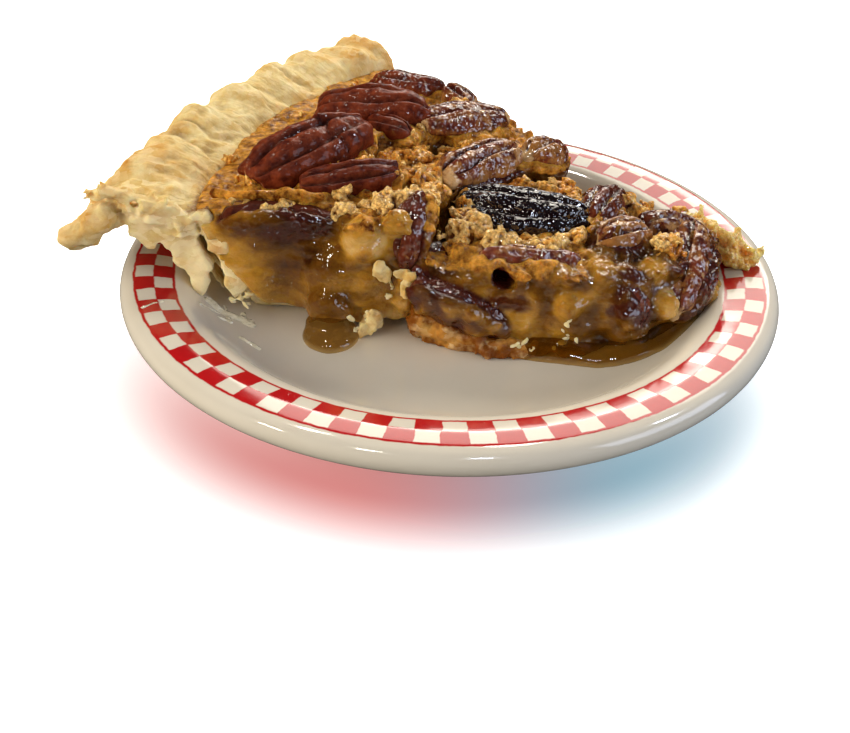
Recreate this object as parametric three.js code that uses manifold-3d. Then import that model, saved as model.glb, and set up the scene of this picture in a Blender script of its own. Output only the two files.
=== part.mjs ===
// A slice of pecan pie on its small diner plate, in millimetres, +Z up.
// The plate is a thick rolled-rim side plate with a shallow well and a foot ring. The slice is one
// seventh of a ten inch pie: a fluted pastry shell with a flared rim, a set sugar filling and pecan
// halves. It has broken across the middle. The crust end keeps its height and its rim overhangs the
// plate, while the tip end has slid forwards and sunk, so that its point leans on the plate's wall.
import * as THREE from 'three';
import Module from 'manifold-3d';
import { mergeVertices } from 'three/addons/utils/BufferGeometryUtils.js';

const wasm = await Module();
wasm.setup();

// ---- driving dimensions -------------------------------------------------------------------------
const GAP = 0.35; // clearance kept between pieces that touch

const PLATE = {
  radius: 70, // half of the plate's outer diameter
  height: 18, // table to the rim's top
  floorTop: 9, // table to the well's floor
  footRadius: 38,
  segments: 52,
};

const PIE = {
  centre: new THREE.Vector2(60, -2), // the whole pie's centre, in plan, seen from the plate's axis
  nearAngle: 184, // degrees, direction of the cut that shows
  farAngle: 134, // degrees, direction of the far cut
  rimRadius: 127, // pie's centre to the rim's ridge
  rimHeight: 25.6, // plate's floor to the rim's ridge
  baseThickness: 4,
  breakRadius: 58, // pie's centre to where the pastry base snapped
  fillingHeight: 24.2, // plate's floor to the filling's top, where it stands
  sunkHeight: 17.6, // the same where it has sunk
};
const rimTop = PLATE.floorTop + PIE.rimHeight;
const baseBottom = PLATE.floorTop + GAP;
const baseTop = baseBottom + PIE.baseThickness;

// Colour and roughness of each finish.
const FINISHES = {
  glaze: [0xe9e2d2, 0.15],
  pastry: [0xe0c58a, 0.8],
  filling: [0x8a5a1e, 0.25],
  crumb: [0xb9822f, 0.7],
  pecan: [0x5a2413, 0.35],
};

// ---- small maths --------------------------------------------------------------------------------
const rad = THREE.MathUtils.degToRad;
const mix = THREE.MathUtils.lerp;
const step = THREE.MathUtils.smoothstep;
const bell = (x, centre, width) => Math.exp(-(((x - centre) / width) ** 2));

// A smooth, repeatable unevenness between about -1 and 1.
function wobble(x, y, z, seed = 0) {
  return (
    Math.sin(0.61 * x + 1.7 * seed + 1.3 * Math.sin(0.37 * y + seed)) * 0.4 +
    Math.sin(0.53 * y - 2.1 * seed + 1.1 * Math.sin(0.41 * z)) * 0.35 +
    Math.sin(0.67 * z + 0.9 * seed + 1.2 * Math.sin(0.33 * x)) * 0.25
  );
}

// ---- solids -------------------------------------------------------------------------------------
// A closed three.js geometry as a manifold-3d solid.
function solidOf(geometry) {
  const bare = geometry.index ? geometry.toNonIndexed() : geometry.clone();
  bare.deleteAttribute('normal');
  bare.deleteAttribute('uv');
  const merged = mergeVertices(bare, 1e-4);
  const mesh = new wasm.Mesh({
    numProp: 3,
    vertProperties: new Float32Array(merged.attributes.position.array),
    triVerts: new Uint32Array(merged.index.array),
  });
  return new wasm.Manifold(mesh);
}

function geometryOf(points, faces) {
  const geometry = new THREE.BufferGeometry().setFromPoints(points);
  geometry.setIndex(faces);
  return geometry;
}

// The faces between rings of points that all have the same count, wound one way round.
function sideFaces(rings) {
  const count = rings[0].length;
  const faces = [];
  for (let r = 0; r + 1 < rings.length; r++) {
    for (let i = 0; i < count; i++) {
      const a = r * count + i;
      const b = r * count + ((i + 1) % count);
      faces.push(a, b, b + count, a, b + count, a + count);
    }
  }
  return faces;
}

// A solid through rings of points, closed at each end by a fan to a middle point.
function loft(rings, firstMiddle, lastMiddle) {
  const count = rings[0].length;
  const points = [...rings.flat(), firstMiddle, lastMiddle];
  const faces = sideFaces(rings);
  const lastRing = (rings.length - 1) * count;
  for (let i = 0; i < count; i++) {
    const j = (i + 1) % count;
    faces.push(points.length - 2, j, i);
    faces.push(points.length - 1, lastRing + i, lastRing + j);
  }
  return geometryOf(points, faces);
}

// The largest body of a solid, without the scraps that a cut leaves.
function largest(solid) {
  const bodies = solid.decompose();
  return bodies.reduce((best, body) => (body.volume() > best.volume() ? body : best));
}

const joined = (solids) => solids.reduce((all, solid) => all.add(solid));

function cutBy(solid, cutters) {
  return largest(cutters.reduce((rest, cutter) => rest.subtract(cutter), solid));
}

// ---- the plate ----------------------------------------------------------------------------------
// Half sections as [distance from the axis, height]: the underside out to the rim, and the eating
// side from the rim's top back to the axis.
function plateSections() {
  const R = PLATE.radius;
  const H = PLATE.height;
  const F = PLATE.footRadius;
  const under = [
    [0, 4], [F - 4.5, 3.8], [F - 3.6, 0], [F - 0.2, 0], [F + 1.2, 1.2], [F + 3, 3.4], [F + 9, 4.9],
    [F + 16, 8.4], [F + 23, 10.8], [R - 2.6, 11.6], [R - 0.6, 13.2], [R, 15.4], [R - 0.8, 17.2],
  ];
  const eating = [
    [R - 3, H], [R - 11.6, H - 0.35], [R - 13.4, H - 1], [R - 15.2, H - 2.6], [R - 17.4, H - 5],
    [R - 20, H - 7], [R - 23.5, H - 8.3], [R - 28, PLATE.floorTop], [0, PLATE.floorTop],
  ];
  return { under, eating };
}

const latheSolid = (section, segments) => {
  const profile = section.map(([r, z]) => new THREE.Vector2(r, z));
  return solidOf(new THREE.LatheGeometry(profile, segments).rotateX(Math.PI / 2));
};

function plateSolid() {
  const { under, eating } = plateSections();
  return latheSolid([...under, ...eating], PLATE.segments);
}

// What food can't enter: the plate with its clearance, and the space beside it below its rim.
function plateCutter() {
  const { eating } = plateSections();
  const lifted = eating.map(([r, z]) => [Math.max(r - GAP * 0.7, 0), z + GAP]);
  const beyond = PLATE.radius + 40;
  return latheSolid([[0, 1], [beyond, 1], [beyond, PLATE.height + GAP], ...lifted], PLATE.segments / 2);
}

// Height of the eating side above the well's floor, for food that lies on it.
function plateRise(x, y) {
  const { eating } = plateSections();
  const r = Math.hypot(x, y);
  const inner = eating.findIndex(([edge]) => edge <= r);
  if (inner === 0) return PLATE.height - PLATE.floorTop;
  const [r0, z0] = eating[inner];
  const [r1, z1] = eating[inner - 1];
  return mix(z0, z1, (r - r0) / (r1 - r0)) - PLATE.floorTop;
}

// ---- the pastry shell ---------------------------------------------------------------------------
// Crests of the fluted rim: direction in degrees, how far the crest stands up, and its half width.
const FLUTES = [
  [134.8, 3.2, 3.2], [143.4, 2.2, 2.4], [149.5, 2.2, 2.2], [156, 2.4, 2.4],
  [164, 2.4, 2.3], [170.5, 1.6, 2.2], [176, 0.9, 2.4],
];

const fluteAt = (angle) => FLUTES.reduce((sum, [at, up, half]) => sum + up * bell(angle, at, half), 0);

// Section of the shell as [distance from the pie's centre, height]: under the base, up the outer
// wall, round the rim, down the inner wall and back along the base.
function shellSection() {
  const E = PIE.rimRadius;
  const outer = [
    [PIE.breakRadius, baseBottom], [75, baseBottom], [90, baseBottom], [E - 26, baseBottom + 0.3],
    [E - 20, 12], [E - 15.5, 17], [E - 11.5, 22.3], [E - 8.5, 25.6], [E - 5, 27], [E, 27.4],
  ];
  const rim = [
    [E + 3.8, 28.4], [E + 5, 30.6], [E + 3.6, 33.2], [E + 0.8, rimTop], [E - 2.4, rimTop + 0.4],
    [E - 6.6, rimTop - 0.8], [E - 11.4, rimTop - 2.4],
  ];
  const inner = [
    [E - 15, 30.6], [E - 17, 26.4], [E - 19.6, 21], [E - 22.6, 16.8], [E - 26.5, 14.4],
    [90, baseTop + 0.1], [75, baseTop], [PIE.breakRadius, baseTop],
  ];
  return [...outer, ...rim, ...inner].map(([r, z]) => new THREE.Vector2(r, z));
}

// Where a point of the section lies at an angle round the pie, moved out by grow along its normal.
function shellPoint(section, normal, angle, grow) {
  const { x: radius, y: height } = section;
  const rim = step(radius, 116, 128) * step(height, 25, 30);
  const crest = fluteAt(angle);
  const flap = step(angle, 172, 183) * step(radius, 114, 130); // the rim's end hangs down and out
  const sunk = step(angle, 165, 184) * step(radius, 95, 112);
  const upright = 1 - step(angle, 152, 172); // the rest of the rim stands steeper
  const soft = height > baseBottom + 0.1 ? 0.35 : 0; // the underside stays even
  const out = rim * (crest * 0.4 - 1) + flap * 9.5 - upright * 3.4 * step(radius, 104, 120);
  const up = rim * (crest - 1.4 + upright * 0.7) - flap * 3.6 - sunk * 1.5;
  const r = radius + out + 0.5 * wobble(angle * 0.9, radius * 0.4, height, 3) + normal.x * grow;
  const bowed = 3 * step(angle, 165, 184) * bell(radius, 76, 16); // the near edge slumps forwards
  const ragged = step(angle, 182, 184) * 0.55 * wobble(radius * 0.9, height * 1.1, 0, 7);
  const a = rad(angle + bowed + ragged);
  const x = PIE.centre.x + r * Math.cos(a);
  const y = PIE.centre.y + r * Math.sin(a);
  const lying = plateRise(x, y) * (1 - step(height, 13, 26)); // the base follows the plate
  const uneven = soft * wobble(angle * 1.1, radius * 0.35, height * 0.6, 5);
  return new THREE.Vector3(x, y, height + up + uneven + lying + normal.y * grow);
}

// The shell swept round the pie's centre. The cutting copy is grown, and runs on past both cuts.
function shellSolid(grow = 0) {
  const steps = grow ? 14 : 28;
  const spare = grow ? 3 : 0;
  const section = shellSection();
  const normals = section.map((p, i) => {
    const before = section[(i + section.length - 1) % section.length];
    const after = section[(i + 1) % section.length];
    const along = after.clone().sub(before).normalize();
    return new THREE.Vector2(along.y, -along.x);
  });
  const axis = new THREE.Vector3(0, 0, 1);
  const middle = new THREE.Vector3(PIE.centre.x, PIE.centre.y, 0);
  const rings = Array.from({ length: steps + 1 }, (_, k) => {
    const angle = mix(PIE.nearAngle + spare, PIE.farAngle - spare, k / steps);
    const held = THREE.MathUtils.clamp(angle, PIE.farAngle, PIE.nearAngle);
    return section.map((p, i) => {
      const point = shellPoint(p, normals[i], held, grow).sub(middle);
      return point.applyAxisAngle(axis, rad(angle - held)).add(middle);
    });
  });
  const faces = sideFaces(rings);
  const lastRing = steps * section.length;
  for (const [a, b, c] of THREE.ShapeUtils.triangulateShape(section, [])) {
    faces.push(a, c, b);
    faces.push(lastRing + a, lastRing + b, lastRing + c);
  }
  return solidOf(geometryOf(rings.flat(), faces));
}

// At the near cut the wall has torn away from the base: the wedge-shaped tear between the two.
function tearCutter() {
  const depth = 16;
  const outline = [[101.5, 7], [105, 7], [109.6, 17.5], [112.5, 26], [108.6, 18.5], [104, 13.6]];
  const shape = new THREE.Shape(outline.map(([r, z]) => new THREE.Vector2(r, z)));
  const slab = new THREE.ExtrudeGeometry(shape, { depth, bevelEnabled: false });
  slab.rotateX(Math.PI / 2).translate(0, depth - 9, 0);
  slab.rotateZ(rad(PIE.nearAngle)).translate(PIE.centre.x, PIE.centre.y, 0);
  return solidOf(slab);
}

// ---- blobs and chunks ---------------------------------------------------------------------------
// A lumpy closed ball with few faces, for a curd or a crumb: centre, half sizes, how uneven it is.
function blob([x, y, z], [rx, ry, rz], seed = 1, amount = 0.12, turn = 0) {
  const ball = new THREE.DodecahedronGeometry(1);
  const p = ball.attributes.position;
  for (let i = 0; i < p.count; i++) {
    const v = new THREE.Vector3().fromBufferAttribute(p, i);
    const k = 1 + amount * wobble(v.x * 3, v.y * 3, v.z * 3, seed);
    p.setXYZ(i, v.x * rx * k, v.y * ry * k, v.z * rz * k);
  }
  ball.rotateZ(rad(turn)).translate(x, y, z);
  return solidOf(ball);
}

// A slab of filling: a star-shaped outline in plan, a bulging side, and a top that follows topAt.
function chunkSolid({ centre, outline, bottom, topAt, bulge, flare, seed }, grow = 0) {
  const curve = new THREE.CatmullRomCurve3(
    outline.map(([x, y]) => new THREE.Vector3(x, y, 0)), true, 'centripetal');
  const count = 28;
  const around = curve.getSpacedPoints(count).slice(0, count);
  const middle = new THREE.Vector3(...centre, 0);
  const levels = [0, 0.2, 0.5, 0.85];
  const rings = [];
  const ringAt = (scale, out, heightOf) => around.map((p) => {
    const away = p.clone().sub(middle);
    const span = away.length();
    away.multiplyScalar((scale * span + (out + grow) * Math.min(scale, 1)) / span);
    const at = middle.clone().add(away);
    at.z = heightOf(at);
    const side = scale > 0.9 ? 0.9 * wobble(at.x * 0.8, at.y * 0.8, at.z * 0.9, seed) : 0;
    at.addScaledVector(p.clone().sub(middle).normalize(), side);
    return at;
  });
  for (const t of levels) {
    const out = bulge * Math.sin(Math.PI * Math.min(1, t * 1.15 + 0.05)) + flare * (1 - step(t, 0, 0.25));
    rings.push(ringAt(1, out, (p) => mix(bottom - grow, topAt(p.x, p.y) - 1.2 + grow, t)));
  }
  for (const scale of [0.93, 0.65, 0.35]) {
    rings.push(ringAt(scale, 0, (p) => topAt(p.x, p.y) + grow));
  }
  const low = middle.clone().setZ(bottom - grow);
  const high = middle.clone().setZ(topAt(...centre) + grow);
  return solidOf(loft(rings, low, high));
}

// ---- pecans -------------------------------------------------------------------------------------
// A pecan half lies along X with its rounded back up. Two furrows run along the back.
function pecanGeometry(length, width, height, { furrow = 1, grow = 0 } = {}) {
  const long = length > 20;
  const rings = long && !grow ? 7 : 5;
  const sides = grow ? 7 : long ? 14 : 10;
  const loops = [];
  for (let r = 0; r < rings; r++) {
    const u = (r + 0.5) / rings;
    const taper = Math.sin(Math.PI * (0.04 + 0.92 * u)) ** 0.62 * (1 - 0.18 * u);
    const loop = [];
    for (let i = 0; i < sides; i++) {
      const a = (i / sides) * Math.PI * 2;
      const across = Math.cos(a);
      const up = Math.sin(a);
      const cut = furrow * 0.2 * bell(Math.abs(across), 0.36, 0.16) * step(up, 0.2, 0.7);
      const y = (width / 2) * taper * across + grow * across;
      const lift = up > 0 ? height * 0.72 * (up - cut) : height * 0.28 * up;
      loop.push(new THREE.Vector3(mix(-length / 2, length / 2, u), y, lift * taper + grow * up));
    }
    loops.push(loop);
  }
  const end = length / 2 + grow;
  return loft(loops, new THREE.Vector3(-end, 0, 0), new THREE.Vector3(end, 0, 0));
}

// [name, x, y, z, length, width, height, yaw, pitch, roll]: the middle of each piece, its size, and
// its turns in degrees. pitch lifts the +X end, roll turns the piece about its own length.
const PECANS = [
  ['pecan_top_large', -31.2, 9.5, 36.4, 33, 16.5, 8.5, 39, 9, 14],
  ['pecan_top_low', -20.3, 0.2, 34.6, 21, 8.5, 6.5, 16, 4, 25],
  ['pecan_top_back', -17.6, 33.5, 37, 30, 14.5, 8.5, -8, 9, 6],
  ['pecan_top_far', -9.2, 57, 34.4, 22, 12, 7.5, -30, 6, 0],
  ['pecan_top_small', -14.2, 23.5, 35.4, 14, 8, 6, -36, 6, 8],
  ['pecan_top_glossy', 1.6, 33, 34.2, 22, 16, 7.5, 22, -3, -6],
  ['pecan_far_stub', 0.6, 49.6, 33.6, 12, 8, 6, -52, 0, 0],
  ['pecan_ridge', 6.6, 15.4, 32.2, 23, 11.5, 7, 41, 2, 12],
  ['pecan_ridge_end', 20.6, 24.6, 30.4, 12, 10, 7, 44, -6, 0],
  ['pecan_dark', 15.2, 2.2, 28.4, 29, 16.5, 7.5, -9, -2, 10],
  ['pecan_tip_upright', 33.2, 7, 27, 19, 9.5, 8.5, 66, 0, 0],
  ['pecan_tip_pale', 35, -6, 27.2, 13, 9, 8, 24, 4, 20],
  ['pecan_tip_back', 46.8, 3.8, 25.8, 15, 8, 6.5, 20, -4, 0],
  ['pecan_tip_nose', 50.8, -9.6, 21.6, 23, 12.5, 9, -104, -27, 26],
  ['pecan_break_top', -7.6, -12.5, 31, 17, 9, 7, 72, 14, -35],
  ['pecan_front_strip', 1.8, -21.6, 17.8, 22, 9, 6, -10, -20, -62],
  ['pecan_front_shelf', 16.5, -15.8, 25, 23, 8.5, 6, 3, -3, -30],
  ['pecan_front_right', 34.4, -17.6, 20.6, 16, 8.5, 7, -52, -24, -50],
  ['pecan_break_low', -3.4, -13.6, 22.6, 13, 8, 6.5, 48, 18, -30],
  ['pecan_near_cut', -33, -10.6, 30.2, 23, 9, 6, 3, -3, -66],
];

function placed(geometry, [, x, y, z, , , , yaw, pitch, roll]) {
  geometry.rotateX(rad(roll)).rotateY(rad(-pitch)).rotateZ(rad(yaw)).translate(x, y, z);
  return solidOf(geometry);
}

const pecanSolid = (row) => placed(pecanGeometry(row[4], row[5], row[6]), row);
const pecanCutter = (row) =>
  placed(pecanGeometry(row[4], row[5], row[6], { furrow: 0, grow: GAP + 0.6 }), row);

// ---- the two lumps of filling -------------------------------------------------------------------
const BACK_CHUNK = {
  centre: [-22, 20],
  outline: [
    [-62, -12.5], [-52, -13], [-40, -13.2], [-31, -13.4], [-24.5, -16.5], [-16, -16.5], [-9, -16], [-5, -11],
    [-2.5, -4], [0.5, 4], [5, 10], [13, 16], [21.5, 22], [26, 28], [18.5, 36.5], [7, 48], [-3, 59.5],
    [-14, 74.5], [-24, 80], [-40, 68], [-55, 45], [-62, 15],
  ],
  bottom: 11,
  topAt: (x, y) =>
    PLATE.floorTop + PIE.fillingHeight + 0.7 * wobble(x * 0.7, y * 0.7, 2, 4) -
    3.2 * step(x, 4, 26) - 1.8 * step(Math.hypot(x - PIE.centre.x, y - PIE.centre.y), 88, 108),
  bulge: 1.1,
  flare: -0.6,
  seed: 2,
};
const TIP_CHUNK = {
  centre: [24, -5],
  outline: [
    [-5.5, -17], [0, -20.5], [11, -22.5], [22, -23], [32, -21.5], [42, -18], [50, -13.5], [56, -6],
    [58, 1], [54, 7], [46, 11.5], [38, 18], [30, 23.5], [23, 17.5], [14, 11], [6.5, 5], [2, -3], [-1.5, -10],
  ],
  bottom: 9,
  topAt: (x, y) =>
    PLATE.floorTop + PIE.sunkHeight + 0.7 * wobble(x * 0.8, y * 0.8, 1, 6) -
    1.6 * step(x, 30, 52) - 3 * step(y, 4, 22),
  bulge: 1.6,
  flare: 2.2,
  seed: 5,
};

// Rounded curds of set filling, and the run of syrup at the front: middle, half sizes, seed.
const BACK_LUMPS = [
  [[-17, -15.5, 28.6], [4.6, 3.8, 4.4], 1], [[-10.4, -15.6, 33], [3.4, 3, 3], 2],
  [[-22.8, -15.2, 20.5], [5.2, 4, 6], 3], [[-23.4, -18.6, 15.6], [4.9, 4.4, 5.2], 4],
  [[-23.2, -21.6, 11.6], [5.6, 4.6, 3], 5], [[-9.2, -16.8, 18.4], [2.9, 2.8, 5.4], 6],
];
const BACK_CRAGS = [
  [[-20.4, -9.8, 34.4], [3.6, 2.8, 3.2], 8], [[-15, -8.6, 36.8], [3.8, 3.2, 4.6], 9],
  [[-11.2, -4.4, 36.8], [3.6, 3.4, 4.8], 10], [[-6, -6.2, 34.8], [3, 3, 4.4], 11],
  [[-6, 6, 34], [4, 3.4, 3.2], 12], [[-9, 15.5, 34.4], [4.4, 3.6, 3], 13],
  [[-35, -9.4, 33.6], [7.5, 2.8, 2.2], 14], [[10, 39.5, 31.6], [3.6, 3.4, 2.8], 15],
];
const TIP_LUMPS = [
  [[24.2, -22.8, 19.4], [4.4, 3.8, 4.2], 20], [[22.6, -20.2, 24.6], [4, 3.6, 3.6], 21],
  [[44.8, -18, 17], [3.9, 3.8, 3.9], 22], [[30.6, -19.6, 24.6], [4, 3.4, 3.4], 23],
  [[41.2, -15.4, 23.8], [4.4, 4, 4], 24], [[36.4, -20.4, 13.8], [5.4, 4, 3.6], 25],
  [[3.2, -15.2, 24.2], [3.4, 3.2, 4.2], 27], [[52.6, -8.4, 14.8], [5, 5.6, 4.2], 28],
];
const TIP_CRAGS = [
  [[4.4, -6.2, 27.6], [3, 4, 4.2], 29], [[1.6, -10.6, 26], [3, 3, 4.6], 30],
  [[10, 10.4, 26.8], [4.4, 3.2, 3.6], 31], [[24, 13.6, 25.8], [4.4, 3.4, 4], 32],
  [[30, 1, 26.6], [3.2, 3.4, 3.4], 33], [[41, 8, 24], [4, 3.4, 3.4], 34],
  [[44.6, -8.6, 24.4], [4.4, 3.8, 3.6], 35],
];
const lumps = (rows, amount, grow = 0) =>
  rows.map(([at, half, seed]) => blob(at, half.map((h) => h + grow), seed, amount, seed * 37));

// ---- the base under the tip, the chips of pastry and the trailing crumb ---------------------------
const TIP_BASE = {
  centre: [20, -6],
  outline: [
    [-8.2, -15.6], [-7, -19.8], [-2, -22.4], [5, -24], [13.5, -26], [19, -23.4], [30, -20], [41, -14.5],
    [46, -6], [42, 6], [32, 15], [20, 15], [8, 6], [0, -4], [-5, -10],
  ],
  bottom: 8,
  topAt: (x, y) => baseTop - 0.4 + 3.4 * step(-x, -12, 8) * step(-y, 6, 18) + 0.5 * wobble(x, y, 0, 3),
  bulge: 0.5,
  flare: 0.3,
  seed: 9,
};
const CHIPS = [
  ['pastry_chip_high', [-9.6, -18.2, 25.6], [3, 2.3, 3.4], 41],
  ['pastry_chip_low', [-15.4, -19.4, 12.6], [2.8, 2.5, 3.4], 42],
];
const TAIL = [
  [[54.4, 7.4, 22], [5, 4.2, 3.6], 51], [[59.4, 6, 21], [5, 3.8, 3], 52],
  [[64, 4, 20], [4, 2.8, 2], 53],
];

// ---- assembly -----------------------------------------------------------------------------------
const materials = {};
for (const [name, [color, roughness]] of Object.entries(FINISHES)) {
  materials[name] = new THREE.MeshStandardMaterial({ name, color, roughness, metalness: 0 });
}

const group = new THREE.Group();

function addNode(name, solid, material) {
  const mesh = solid.getMesh();
  const geometry = new THREE.BufferGeometry();
  geometry.setAttribute('position', new THREE.BufferAttribute(new Float32Array(mesh.vertProperties), 3));
  geometry.setIndex(new THREE.BufferAttribute(new Uint32Array(mesh.triVerts), 1));
  geometry.computeVertexNormals();
  const node = new THREE.Mesh(geometry, material);
  node.name = name;
  group.add(node);
}

const plateCut = plateCutter();
const shellCut = shellSolid(GAP + 0.25);
const shell = cutBy(shellSolid(), [plateCut, tearCutter()]);
const tipBase = cutBy(chunkSolid(TIP_BASE), [plateCut, shellCut]);
const tipBaseCut = chunkSolid(TIP_BASE, GAP);

const pecans = [];
const pecanCuts = [];
for (const row of PECANS) {
  pecans.push([row[0], cutBy(pecanSolid(row), [plateCut, shellCut, tipBaseCut, ...pecanCuts])]);
  pecanCuts.push(pecanCutter(row));
}

const chips = CHIPS.map(([name, at, half, seed]) =>
  [name, cutBy(blob(at, half, seed, 0.35), [plateCut, shellCut, tipBaseCut, ...pecanCuts])]);
const chipCuts = CHIPS.map(([, at, half, seed]) => blob(at, half.map((h) => h * 1.12 + GAP), seed, 0.35));

const tail = cutBy(joined(lumps(TAIL, 0.3)), [plateCut, ...pecanCuts]);
const tailCut = joined(lumps(TAIL, 0.3, GAP + 0.3));

const solidParts = [plateCut, shellCut, tipBaseCut, ...pecanCuts, ...chipCuts];
const backRaw = joined([chunkSolid(BACK_CHUNK), ...lumps(BACK_LUMPS, 0.1), ...lumps(BACK_CRAGS, 0.3)]);
const tipRaw = joined([chunkSolid(TIP_CHUNK), ...lumps(TIP_LUMPS, 0.1), ...lumps(TIP_CRAGS, 0.3)]);
const back = cutBy(backRaw, solidParts);
const backCut = joined([
  chunkSolid(BACK_CHUNK, GAP + 0.3),
  ...lumps(BACK_LUMPS, 0.1, GAP + 0.3),
  ...lumps(BACK_CRAGS, 0.3, GAP + 0.3),
]);
const tip = cutBy(tipRaw, [...solidParts, tailCut, backCut]);

addNode('plate', plateSolid(), materials.glaze);
addNode('pastry_shell', shell, materials.pastry);
addNode('pastry_base_tip', tipBase, materials.pastry);
for (const [name, solid] of chips) addNode(name, solid, materials.pastry);
addNode('filling_back', back, materials.filling);
addNode('filling_tip', tip, materials.filling);
addNode('crumb_tail', tail, materials.crumb);
for (const [name, solid] of pecans) addNode(name, solid, materials.pecan);

// The origin is the middle of the bounding box, on the table.
const bounds = new THREE.Box3().setFromObject(group);
group.position.set(-(bounds.min.x + bounds.max.x) / 2, -(bounds.min.y + bounds.max.y) / 2, -bounds.min.z);

export default group;
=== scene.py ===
import math
from functools import partial
from itertools import product

import bpy
import numpy as np
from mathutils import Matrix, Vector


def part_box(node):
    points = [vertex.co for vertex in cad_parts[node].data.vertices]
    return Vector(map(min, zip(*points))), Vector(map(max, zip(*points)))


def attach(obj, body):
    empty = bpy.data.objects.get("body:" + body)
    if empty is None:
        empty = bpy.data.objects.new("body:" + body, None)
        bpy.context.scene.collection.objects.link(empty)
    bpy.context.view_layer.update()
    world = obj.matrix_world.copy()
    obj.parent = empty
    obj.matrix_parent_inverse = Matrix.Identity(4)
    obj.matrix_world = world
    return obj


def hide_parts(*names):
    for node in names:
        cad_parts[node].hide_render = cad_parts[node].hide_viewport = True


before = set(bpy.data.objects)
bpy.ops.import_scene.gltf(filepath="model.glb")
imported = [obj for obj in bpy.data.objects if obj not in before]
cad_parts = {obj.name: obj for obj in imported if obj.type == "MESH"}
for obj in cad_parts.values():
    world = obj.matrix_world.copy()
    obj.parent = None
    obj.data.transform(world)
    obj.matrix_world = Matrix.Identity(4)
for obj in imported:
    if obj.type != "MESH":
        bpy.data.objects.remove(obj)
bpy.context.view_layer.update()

import openvdb as vdb
from mathutils import Matrix, Vector

bl_info = {
    "name": "Pecan pie slice",
    "version": (1, 0, 0),
    "blender": (4, 5, 0),
    "location": "3D View > Sidebar > Pecan pie",
    "description": "Builds a broken slice of pecan pie on its checked side plate",
    "category": "Object",
}

# The slice is modelled in millimetres, measured from the plate's axis and the table, and is moved
# into the frame when its meshes are made. Soft and crumbly pieces are signed distance fields on a
# grid, negative inside, which join, carve and crumble as the real stuff does. The nuts and the
# plate are swept surfaces.

# ---- driving sizes, in millimetres and degrees ----------------------------------------------------
MM = 0.001
PLATE_LOW, PLATE_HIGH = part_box("plate")
PLATE_AXIS = np.array([(PLATE_LOW.x + PLATE_HIGH.x) / 2, (PLATE_LOW.y + PLATE_HIGH.y) / 2, 0]) / MM
PLATE_RADIUS = 70.0
PLATE_HEIGHT = 18.0
FLOOR_TOP = 9.0
FOOT_RADIUS = 38.0
FIRST_CHECK = 186.2  # direction in which the middle of a check lies

PIE_CENTRE = np.array([60.0, -2.0])
NEAR_ANGLE = 184.0
FAR_ANGLE = 134.0
RIM_RADIUS = 127.0
RIM_TOP = FLOOR_TOP + 25.6
BASE_BOTTOM = 9.35
BASE_TOP = 13.35
BREAK_RADIUS = 58.0
FILLING_TOP = FLOOR_TOP + 24.2
SUNK_TOP = FLOOR_TOP + 17.6

VOXEL = 0.5
FAR = 2.0  # fields are held within this distance

# Crests of the fluted rim: direction, how far the crest stands up, and its half width in degrees.
FLUTES = [
    (134.8, 3.2, 3.2), (143.4, 2.2, 2.4), (149.5, 2.2, 2.2), (156, 2.4, 2.4),
    (164, 2.4, 2.3), (170.5, 1.6, 2.2), (176, 0.9, 2.4),
]
TEAR = [(101.5, 7), (105, 7), (109.6, 17.5), (112.5, 26), (108.6, 18.5), (104, 13.6)]
TEAR_DEPTH = 9.0

BACK_OUTLINE = [
    (-62, -12.5), (-52, -13), (-40, -13.2), (-31, -13.4), (-24.5, -16.5), (-16, -16.5), (-9, -16),
    (-5, -11), (-2.5, -4), (0.5, 4), (5, 10), (13, 16), (21.5, 22), (26, 28), (18.5, 36.5), (7, 48),
    (-3, 59.5), (-14, 74.5), (-24, 80), (-40, 68), (-55, 45), (-62, 15),
]
TIP_OUTLINE = [
    (-5.5, -17), (0, -20.5), (11, -22.5), (22, -23), (32, -21.5), (42, -18), (49, -13.5), (54, -7),
    (56, 0), (53, 6.5), (46, 11.5), (38, 18), (30, 23.5), (23, 17.5), (14, 11), (6.5, 5), (2, -3),
    (-1.5, -10),
]
TIP_BASE_OUTLINE = [
    (-8.2, -15.6), (-7, -19.8), (-2, -22.4), (5, -24), (13.5, -26), (19, -23.4), (30, -20),
    (41, -14.5), (46, -6), (42, 6), (32, 15), (20, 15), (8, 6), (0, -4), (-5, -10),
]
# Rounded curds of set filling: middle, half sizes, and how deep its colour is.
BACK_CURDS = [
    ((-17, -15.5, 29.2), (4.4, 3.6, 4.4), 0.2), ((-10.4, -15.6, 33), (3.2, 2.8, 2.8), 0.3),
    ((-23.4, -14.8, 20), (5.0, 3.4, 6.2), 0.62), ((-24.2, -17.6, 14.6), (4.8, 3.2, 4.4), 0.7),
    ((-9.4, -16.8, 18.6), (2.2, 2.0, 5.2), 0.3), ((-15.6, -16.2, 21.4), (2.8, 2.4, 3), 0.5),
]
TIP_CURDS = [
    ((23.8, -22.4, 20), (2.9, 3.0, 2.8), 0.42), ((22.6, -20.2, 25), (2.8, 3.0, 2.5), 0.5),
    ((44.2, -18.4, 18.4), (3.0, 3.2, 3.2), 0.2), ((30.6, -19.2, 25), (2.7, 2.8, 2.3), 0.5),
    ((41.2, -14.8, 24), (3.0, 3.2, 2.8), 0.4), ((36.4, -20.4, 13.8), (4.6, 3.6, 3.0), 0.65),
    ((3.2, -15.2, 24.2), (3, 2.8, 4), 0.5), ((52.6, -8.4, 14.8), (5, 5.6, 4.2), 0.45),
]
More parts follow.
